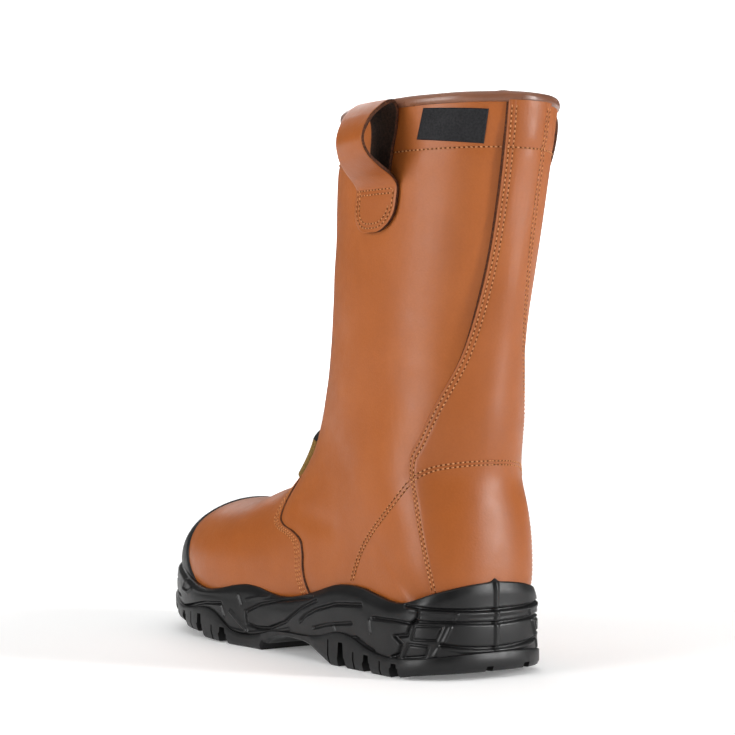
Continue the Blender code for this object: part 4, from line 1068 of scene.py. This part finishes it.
def build_cup():
    count, levels = 620, 66
    share = np.linspace(0, 1, levels)
    inset = smooth([0, .34, .66, .86, 1], [.5, 0, .3, 0, 0], share)
    lips = smooth([0, .34, .66, .86, 1], [0, 0, 0, .38, 1], share)
    rings = []
    for side in (1, -1):
        pts, nrm, way = edge_line(side, count)
        if side < 0:
            way = edge_line(1, count)[2]
        low = table_at(LEVELS, "s", "joint", pts[:, 1]) - .5
        high = table_at(WAVE, "way", "height", way) + 1.5 * np.exp(-(way / 1.8)**2)
        lip = table_at(WAVE, "way", "lip", way)
        z = low[:, None] + share * (high - low)[:, None]
        bulge = .55 * np.exp(-((share[None] - .9) / .10)**2) + .25 * np.sin(share[None] * pi)
        rise = relief_rise(np.broadcast_to(way[:, None], z.shape), z) * soft(share, .0, .04) * (1 - soft(share, .955, 1)) + bulge * .6
        out = -inset[None] - lips[None] * lip[:, None] + rise
        wall = np.stack([pts[:, None, 0] + nrm[:, None, 0] * out, pts[:, None, 1] + nrm[:, None, 1] * out, z], -1)
        g = FINE[side][0][:, :130:2].reshape(-1, 3)
        room = []
        for p, h in zip(pts, high):
            m = np.abs(g[:, 2] - h) < 1.6
            room.append(np.sqrt(((g[m, :2] - p)**2).sum(1)).min() if m.any() else 6.0)
        room = np.maximum(np.convolve(np.pad(room, 4, "edge"), np.ones(9) / 9, "valid"), lip + 1.6) + 1.2
        tops = []
        for k, dz in ((.12, .35), (.32, .5), (.6, .4), (1.0, -.5)):
            i = -(lip + (room - lip) * k)
            tops.append(np.stack([pts[:, 0] + nrm[:, 0] * i, pts[:, 1] + nrm[:, 1] * i, high + dz], -1))
        ring = np.concatenate([wall, np.stack(tops, 1)], 1)
        foot = wall[:, :1].copy()
        foot[:, 0, :2] -= nrm * 3.0
        rings.append(np.concatenate([foot, ring], 1))
    grid = np.concatenate([rings[0], rings[1][::-1][1:-1]])
    centre = np.array([0, 150.0, 30.0])
    n = grid - centre
    n[..., 1] = np.where(np.abs(n[..., 1]) > 105, n[..., 1] * 3, 0)
    r, c = grid.shape[:2]
    flat = grid.reshape(-1, 3)
    faces = facing(flat, grid_faces(r, c, wrap_r=True), n.reshape(-1, 3))
    return add_mesh("cup_sole", flat, faces.tolist(), [MAT_CUP])


def box_points(points, faces, at, along_, across, half_long, half_wide, top, taper=1.0):
    base = len(points)
    for z, k in ((-6.0, taper), (top, 1.0)):
        for a, b in ((-1, -1), (1, -1), (1, 1), (-1, 1)):
            p = at + along_ * (a * half_long) + across * (b * half_wide * k)
            points.append((p[0], p[1], z))
    faces.extend([[base + k for k in f] for f in
                  ((0, 3, 2, 1), (4, 5, 6, 7), (0, 1, 5, 4), (1, 2, 6, 5), (2, 3, 7, 6), (3, 0, 4, 7))])


def build_tread():
    count = 150
    outer, outer_n, _ = edge_line(1, count)
    inner, inner_n, _ = edge_line(-1, count)
    s = outer[:, 1]
    low, high = np.maximum(table_at(LEVELS, "s", "bottom", s), 0), table_at(LEVELS, "s", "joint", s)
    low[(s > 30) & (s < 88)] = 0.0
    low[(s > 157) & (s < 191)] = 0.0
    low[(s > 146) & (s <= 157)] = np.maximum(low[(s > 146) & (s <= 157)], 4.4)
    for rear, fore in ((191, 220), (220, 243), (243, 262)):
        lug = (s > rear) & (s <= fore)
        low[lug] = np.minimum(low[lug], low[lug].min() + .35 * (low[lug] - low[lug].min()))
    profile = [(0.0, .9), (.06, .1), (.3, -OUTSOLE_FLANGE), (.9, -OUTSOLE_FLANGE), (.98, -.6), (1.0, 0.2)]
    rings = []
    for i in range(len(s)):
        ring = []
        for line, normal, order in ((outer, outer_n, profile), (inner, inner_n, profile[::-1])):
            for share, inset in order:
                p = line[i] - normal[i] * inset
                ring.append((p[0], p[1], low[i] + share * (high[i] - low[i])))
        rings.append(ring)
    n = len(rings[0])
    pts = np.array(rings).reshape(-1, 3)
    obj = tidy(add_mesh("tread", pts, grid_faces(len(rings), n, wrap_c=True).tolist(), [MAT_TREAD]))
    bm = bmesh.new()
    bm.from_mesh(obj.data)
    bmesh.ops.recalc_face_normals(bm, faces=bm.faces)
    bm.to_mesh(obj.data)
    bm.free()
    points, faces, slot_points, slot_faces = [], [], [], []
    for notch in NOTCHES:
        middle, half = plan(np.array(float(notch.s)))
        edge = np.array([middle + notch.side * half, notch.s])
        t = notch.turn * pi / 180
        a = np.array([notch.side * cos(t), -sin(t)])
        b = np.array([sin(t), notch.side * cos(t)])
        top = float(table_at(LEVELS, "s", "bottom", float(notch.s))) + GROOVE_DEPTH
        box_points(points, faces, edge - a * (notch.length / 2 - 4.0), a, b, notch.length / 2 + 2.0, notch.width / 2, top + .6, 1.35)
        joint = float(table_at(LEVELS, "s", "joint", float(notch.s)))
        for shift, deep, wide, rise, spread in ((0.0, 3.4, .30 * notch.width, .72, 1.9), (11.5 * notch.side, 1.0, .55, .74, 1.3)):
            at = edge + b * shift
            middle, half = plan(np.array(float(at[1])))
            at = np.array([middle + notch.side * half, at[1]])
            box_points(slot_points, slot_faces, at + a * (5.0 - deep), a, b, 5.0, wide,
                       top - GROOVE_DEPTH + rise * (joint - top + GROOVE_DEPTH), spread)
    for x in BACK_NOTCHES:
        box_points(points, faces, np.array([x, 2.0]), np.array([0, 1.0]), np.array([1.0, 0]), 10.0, 2.1, 2.0 + GROOVE_DEPTH, 1.3)
    for bar in BARS:
        middle, _ = plan(np.array(float(bar.s)))
        top = float(table_at(LEVELS, "s", "bottom", float(bar.s))) + GROOVE_DEPTH - .7
        box_points(points, faces, np.array([float(middle), bar.s]), np.array([1.0, 0]), np.array([0, 1.0]),
                   bar.half_length, bar.width / 2, top, 1.15)
    for cut_points, cut_faces in ((points, faces), (slot_points, slot_faces)):
        cutter = add_mesh("tread_cuts", np.array(cut_points), cut_faces, [MAT_TREAD])
        bm = bmesh.new()
        bm.from_mesh(cutter.data)
        bmesh.ops.recalc_face_normals(bm, faces=bm.faces)
        bm.to_mesh(cutter.data)
        bm.free()
        mod = obj.modifiers.new("cuts", "BOOLEAN")
        mod.object, mod.operation, mod.solver = cutter, "DIFFERENCE", "EXACT"
        bpy.context.view_layer.update()
        done = bpy.data.meshes.new_from_object(obj.evaluated_get(bpy.context.evaluated_depsgraph_get()))
        obj.modifiers.clear()
        obj.data = done
        bpy.data.objects.remove(cutter, do_unlink=True)
    done.shade_smooth()
    done.set_sharp_from_angle(angle=.6)
    return obj


def build_insole():
    feet = LAST[HEEL_ROW - 1::-1]
    low_s = np.array([r.low_s for r in feet])
    opening = np.array([feather_half(r) for r in feet])
    a = np.linspace(0, pi, 80)
    back, front = low_s[0] + 7.0, low_s[-1] - 11.0
    s = (back + front) / 2 - np.cos(a) * (front - back) / 2
    half = np.maximum(np.interp(s, low_s, opening) - INSOLE_INSET + 2.0, .8)
    middle = np.interp(s, low_s, [r.middle for r in feet])
    z = np.interp(s, low_s, [r.low_z for r in feet]) + GAP
    k = np.linspace(-1, 1, 31)
    x = middle[:, None] + half[:, None] * k
    top = z[:, None] + INSOLE_THICK * (1 - .55 * np.abs(k)[None]**12) + .25 * np.cos(k * pi / 2)[None]
    p = np.stack([x, np.broadcast_to(s[:, None], x.shape), top], -1)
    skirt = p[:, [0, -1]].copy()
    skirt[..., 2] = z[:, None]
    p = np.concatenate([skirt[:, :1], p, skirt[:, 1:]], 1)
    n = np.tile([0, 0, 1.0], p.shape[:2] + (1,))
    return grid_piece("insole_pad", p, n, [MAT_FELT])


# ---------------------------------------------------------------- stitches
THREAD_PARTS, HOLE_SHADE_PARTS = [], []


def sew(pts, nrm, pitch=2.5, length=1.5, radius=.36, lift=.05, hole=.55):
    """A row of stitches along a line of surface points with normals."""
    run = np.concatenate([[0], np.cumsum(np.linalg.norm(np.diff(pts, axis=0), axis=1))])
    count = max(int(run[-1] / pitch), 1)
    mid = (np.arange(count) + .5) * run[-1] / count

    def at(d, values):
        return np.stack([np.interp(d, run, values[:, k]) for k in range(3)], -1)

    stations = [(-.5, .35, -.45), (-.36, .85, .05), (0, 1, .35), (.36, .85, .05), (.5, .35, -.45)]
    ring = [(cos(a), sin(a)) for a in np.arange(6) * pi / 3]
    body = []
    for t, size, up in stations:
        c, n = at(mid + t * length, pts), at(mid + t * length, nrm)
        d = at(mid + t * length + .2, pts) - at(mid + t * length - .2, pts)
        d /= np.maximum(np.linalg.norm(d, axis=1), 1e-9)[:, None]
        side = np.cross(n, d)
        for ca, sa in ring:
            body.append(c + side * (ca * radius * size) + n * (sa * radius * size * .9 + up * radius + lift))
    THREAD_PARTS.append(np.stack(body, 1))
    # a flat dark disc at each needle hole: painted shade for the hole
    if hole:
        discs = []
        for t in (-.5,):
            c, n = at(mid + t * pitch, pts), at(mid + t * pitch, nrm)
            d = at(mid + t * pitch + .2, pts) - at(mid + t * pitch - .2, pts)
            d /= np.maximum(np.linalg.norm(d, axis=1), 1e-9)[:, None]
            side = np.cross(n, d)
            for a in np.arange(8) * pi / 4:
                discs.append(c + d * (cos(a) * hole * 1.5) + side * (sin(a) * hole * .85) + n * (lift + .02))
            discs.append(c + n * (lift + .06))
        HOLE_SHADE_PARTS.append(np.stack(discs, 1))


def join_stitches():
    pts = np.concatenate(THREAD_PARTS)
    count = len(pts)
    quads = grid_faces(5, 6, wrap_c=True)
    caps = np.array([[0, 1, 2, 3], [0, 3, 4, 5], [24, 27, 26, 25], [24, 29, 28, 27]])
    block = np.concatenate([quads, caps])
    faces = (block[None] + (np.arange(count) * 30)[:, None, None]).reshape(-1, 4)
    thread = add_mesh("stitches", pts.reshape(-1, 3), faces.tolist(), [MAT_THREAD])
    bm = bmesh.new()
    bm.from_mesh(thread.data)
    bmesh.ops.recalc_face_normals(bm, faces=bm.faces)
    bm.to_mesh(thread.data)
    bm.free()
    # the discs at the needle holes, painted shade
    pts = np.concatenate(HOLE_SHADE_PARTS)
    count = len(pts)
    fan = np.array([[8, k, (k + 1) % 8] for k in range(8)])
    faces = (fan[None] + (np.arange(count) * 9)[:, None, None]).reshape(-1, 3)
    holes = add_mesh("stitch_hole_painted_shade", pts.reshape(-1, 3), faces.tolist(), [MAT_HOLE_SHADE])
    return thread, holes


def ease(values, reach=11):
    """Moving average along a line, its ends kept."""
    a = np.asarray(values, float)
    out = a.copy()
    for i in range(len(a)):
        r = min(reach, i, len(a) - 1 - i)
        out[i] = a[i - r:i + r + 1].mean(0)
    return out


def sew_all():
    # back strip and counter, two rows each side
    for side in (1, -1):
        u = np.linspace(16.2, 27.9, 500)
        for e in PANEL_ROWS:
            v = panel_reach(u) - e / row_length(u, 1)
            p, n = panel_skin(u, v, side)
            keep = p[:, 2] > wave_height(p[:, 0], p[:, 1], side) + 1.0
            sew(p[keep], n[keep])
    # double row from the sole over the counter's corner and round the back
    for side in (1, -1):
        line = CROSS_LINES[side]
        for shift in (-ROW_GAP, ROW_GAP):
            p, n, _ = on_surface(line, side)
            p, n = ease(p), ease(n)
            d = ease(np.gradient(p, axis=0))
            d /= np.linalg.norm(d, axis=1)[:, None]
            p, n, (u, v) = on_surface(p + np.cross(n, d) * shift, side)
            p, n = ease(p, 7), ease(n)
            e = (panel_reach(u) - v) * row_length(u, 1)
            on = e > 0
            plain, _ = surf(u, v, side)
            skin = p + n * ease(((base_skin(u, v, side)[0] - plain) * n).sum(1), 5)[:, None]
            over = p + n * ease(((panel_skin(u, v, side)[0] - plain) * n).sum(1), 2)[:, None]
            clear = p[:, 2] > wave_height(p[:, 0], p[:, 1], side) + .8
            for m, pp in ((on & (e > .8) & clear, over), (~on & (e < -.9) & clear, skin)):
                at = np.nonzero(m)[0]
                for part in np.split(at, np.nonzero(np.diff(at) > 1)[0] + 1):
                    if len(part) > 6:
                        sew(pp[part], n[part], lift=.10)
    # vamp lap
    for side in (1, -1):
        v = np.linspace(.08, .985, 500)
        edge = vamp_row(v)
        step = row_step(edge, v, side)
        for k, e in enumerate(VAMP_ROWS):
            p, n = surf(edge - e / step, v, side)
            keep = p[:, 2] > wave_height(p[:, 0], p[:, 1], side) + 1.0
            sew((p + n * (.35 - .16))[keep], n[keep])
    # under the collar, right round
    for side in (1, -1):
        zs = FINE[side][0][:, :, 2]
        v = np.linspace(0, 1, 300)
        u = np.array([np.interp(COLLAR_SEAM, zs[300:, int(round(x * V_STEPS))], FINE_U[300:]) for x in v])
        on_panel = v < panel_reach(u)
        p, n = base_skin(u, v, np.full(v.shape, side))
        q, m = panel_skin(u, v, np.full(v.shape, side))
        for pick_, pp, nn in ((on_panel, q, m), (~on_panel, p, n)):
            sew(pp[pick_], nn[pick_], lift=.08)
    # sewn ends of the loops
    for table, side, end in ((LOOP_OUTER, 1, TAB_END_OUTER), (LOOP_INNER, -1, TAB_END_INNER)):
        off, z0, rear, front = table[-1].off, table[-1].z, table[-1].rear, table[-1].front
        top = z0 + 2.2
        lift = off + STRAP_THICK / 2

        def outline(inset, start, stop):
            """Down the front edge, round the end and up the rear edge."""
            r = TAB_CORNER - inset
            f, b, e = front - inset, rear + inset, end + inset
            line = [(f, top)] + [(f - r + r * cos(a), e + r - r * sin(a)) for a in np.linspace(0, pi / 2, 16)]
            line += [(b + r - r * sin(a), e + r - r * cos(a)) for a in np.linspace(0, pi / 2, 16)] + [(b, top)]
            return np.array(line[start:stop])

        lines = [outline(2.3, 0, None), outline(4.7, 0, 33),
                 np.array([(front - 2.3, top), (rear + 2.3, top)]), np.array([(front - 4.7, top - 2.4), (rear + 3.0, top - 2.4)])]
        for line in lines:
            run = np.concatenate([[0], np.cumsum(np.hypot(*np.diff(line, axis=0).T))])
            d = np.linspace(0, run[-1], 120)
            s, z = np.interp(d, run, line[:, 0]), np.interp(d, run, line[:, 1])
            s = s + TAB_LEAN * np.maximum(z0 - z, 0)
            p, n2 = beside_shaft(s, z, lift, side)
            n = np.concatenate([n2, np.zeros((len(n2), 1))], 1)
            sew(p, n)


# ---------------------------------------------------------------- the boot
give(build_leather(), "leather", "upper")
give(build_lining(), "insole_felt")
give(build_vamp(), "leather")
give(build_panel(), "leather_panel", "back_panel")
give(build_guard(), "guard", "toe_guard")
give(build_tag(), "tab", "instep_tab")
give(build_label(), "tab")
give(build_binding(), "binding", "collar_binding")
give(build_strap("loop_outer", LOOP_OUTER, 1, TAB_END_OUTER), "strap", "pull_loop_lateral")
give(build_strap("loop_inner", LOOP_INNER, -1, TAB_END_INNER), "strap", "pull_loop_medial")
give(build_cup(), "sole_foam", "midsole")
give(build_tread(), "sole_rubber", "outsole")
give(build_insole(), "insole_felt", "insole")
sew_all()
for piece in join_stitches():
    give(piece, "leather_panel")

# ---------------------------------------------------------------- floor, light and camera
glowing_floor_look = Look("pale_floor_painted_glow")
glowing_floor_look.link("Base Color", glowing_floor_look.ramp(glowing_floor_look.noise(2.0, 2), (.3, (.92, .92, .92)), (.7, (.95, .95, .945))))
away = glowing_floor_look.node("ShaderNodeVectorMath", vector=glowing_floor_look.coord)
away.operation = "LENGTH"
# painted light: the floor glows, faintly beside the boot and almost white far off, so the distant floor turns white and
# adds light to the boot
glowing_floor_look.link("Emission Strength", glowing_floor_look.between(away.outputs["Value"], .5, 3.6, .15, .95))
glowing_floor_look.fixed(roughness=.8, specular_ior_level=.1, emission_color=(1, 1, 1, 1))
mesh = bpy.data.meshes.new("floor")
mesh.from_pydata([(-12, -12, 0), (12, -12, 0), (12, 12, 0), (-12, 12, 0)], [], [(0, 1, 2, 3)])
mesh.materials.append(glowing_floor_look.mat)
floor = bpy.data.objects.new("floor", mesh)
bpy.context.scene.collection.objects.link(floor)
screen_look = Look("white_screen")
screen_look.link("Emission Color", screen_look.ramp(screen_look.noise(.5, 2), (.3, (.985, .985, .985)), (.7, (1, 1, 1))))
screen_look.fixed(base_color=(.9, .9, .9, 1), roughness=.9, specular_ior_level=0, emission_strength=1.0)
mesh = bpy.data.meshes.new("screen")
around = [(7 * cos(a), 7 * sin(a)) for a in np.linspace(0, 2 * pi, 73)[:-1]]
mesh.from_pydata([(x, y, -.05) for x, y in around] + [(x, y, 8) for x, y in around], [],
                 [(k, k + 72, (k + 1) % 72 + 72, (k + 1) % 72) for k in range(72)])
mesh.materials.append(screen_look.mat)
screen = bpy.data.objects.new("screen", mesh)
bpy.context.scene.collection.objects.link(screen)
screen.visible_glossy = screen.visible_diffuse = False


def soft_box(name, place, target, width, height, watts, tint=(1, 1, 1)):
    data = bpy.data.lights.new(name, "AREA")
    data.shape, data.size, data.size_y, data.energy, data.color = "RECTANGLE", width, height, watts, tint
    obj = bpy.data.objects.new(name, data)
    obj.location = place
    obj.rotation_euler = (Vector(target) - Vector(place)).to_track_quat("-Z", "Y").to_euler()
    bpy.context.scene.collection.objects.link(obj)
    return obj


sky = bpy.context.scene.world or bpy.data.worlds.new("studio")
bpy.context.scene.world = sky
sky.use_nodes = True
back = next(n for n in sky.node_tree.nodes if n.type == "BACKGROUND")
back.inputs["Color"].default_value = (1, 1, 1, 1)
back.inputs["Strength"].default_value = .14
bpy.context.scene.view_settings.view_transform = "Standard"
aim = (0, .03, .15)
soft_box("side_box", (2.0, .06, .60), aim, .85, 1.3, 30)
soft_box("back_box", (-1.2, 1.65, .55), aim, .26, 1.3, 40)
soft_box("top_box", (0, 0, 3.0), (0, 0, 0), 5, 5, 74)
soft_box("front_box", (-.7, -1.7, 1.15), (0, -.10, .08), 1.1, .7, 8)

data = bpy.data.cameras.new("photo_view")
data.sensor_fit, data.sensor_width, data.lens = "HORIZONTAL", 36.0, 96.0
data.shift_y = .0088
data.clip_start, data.clip_end = .01, 100
camera = bpy.data.objects.new("photo_view", data)
ahead, left, yaw = Vector((-.5948, -.8039, 0)), Vector((.8039, -.5948, 0)), radians(2.73)
look = ahead * cos(yaw) + left * sin(yaw)
camera.location = (.61917, .94582, .157)
camera.rotation_euler = look.to_track_quat("-Z", "Y").to_euler()
bpy.context.scene.collection.objects.link(camera)
bpy.context.scene.camera = camera
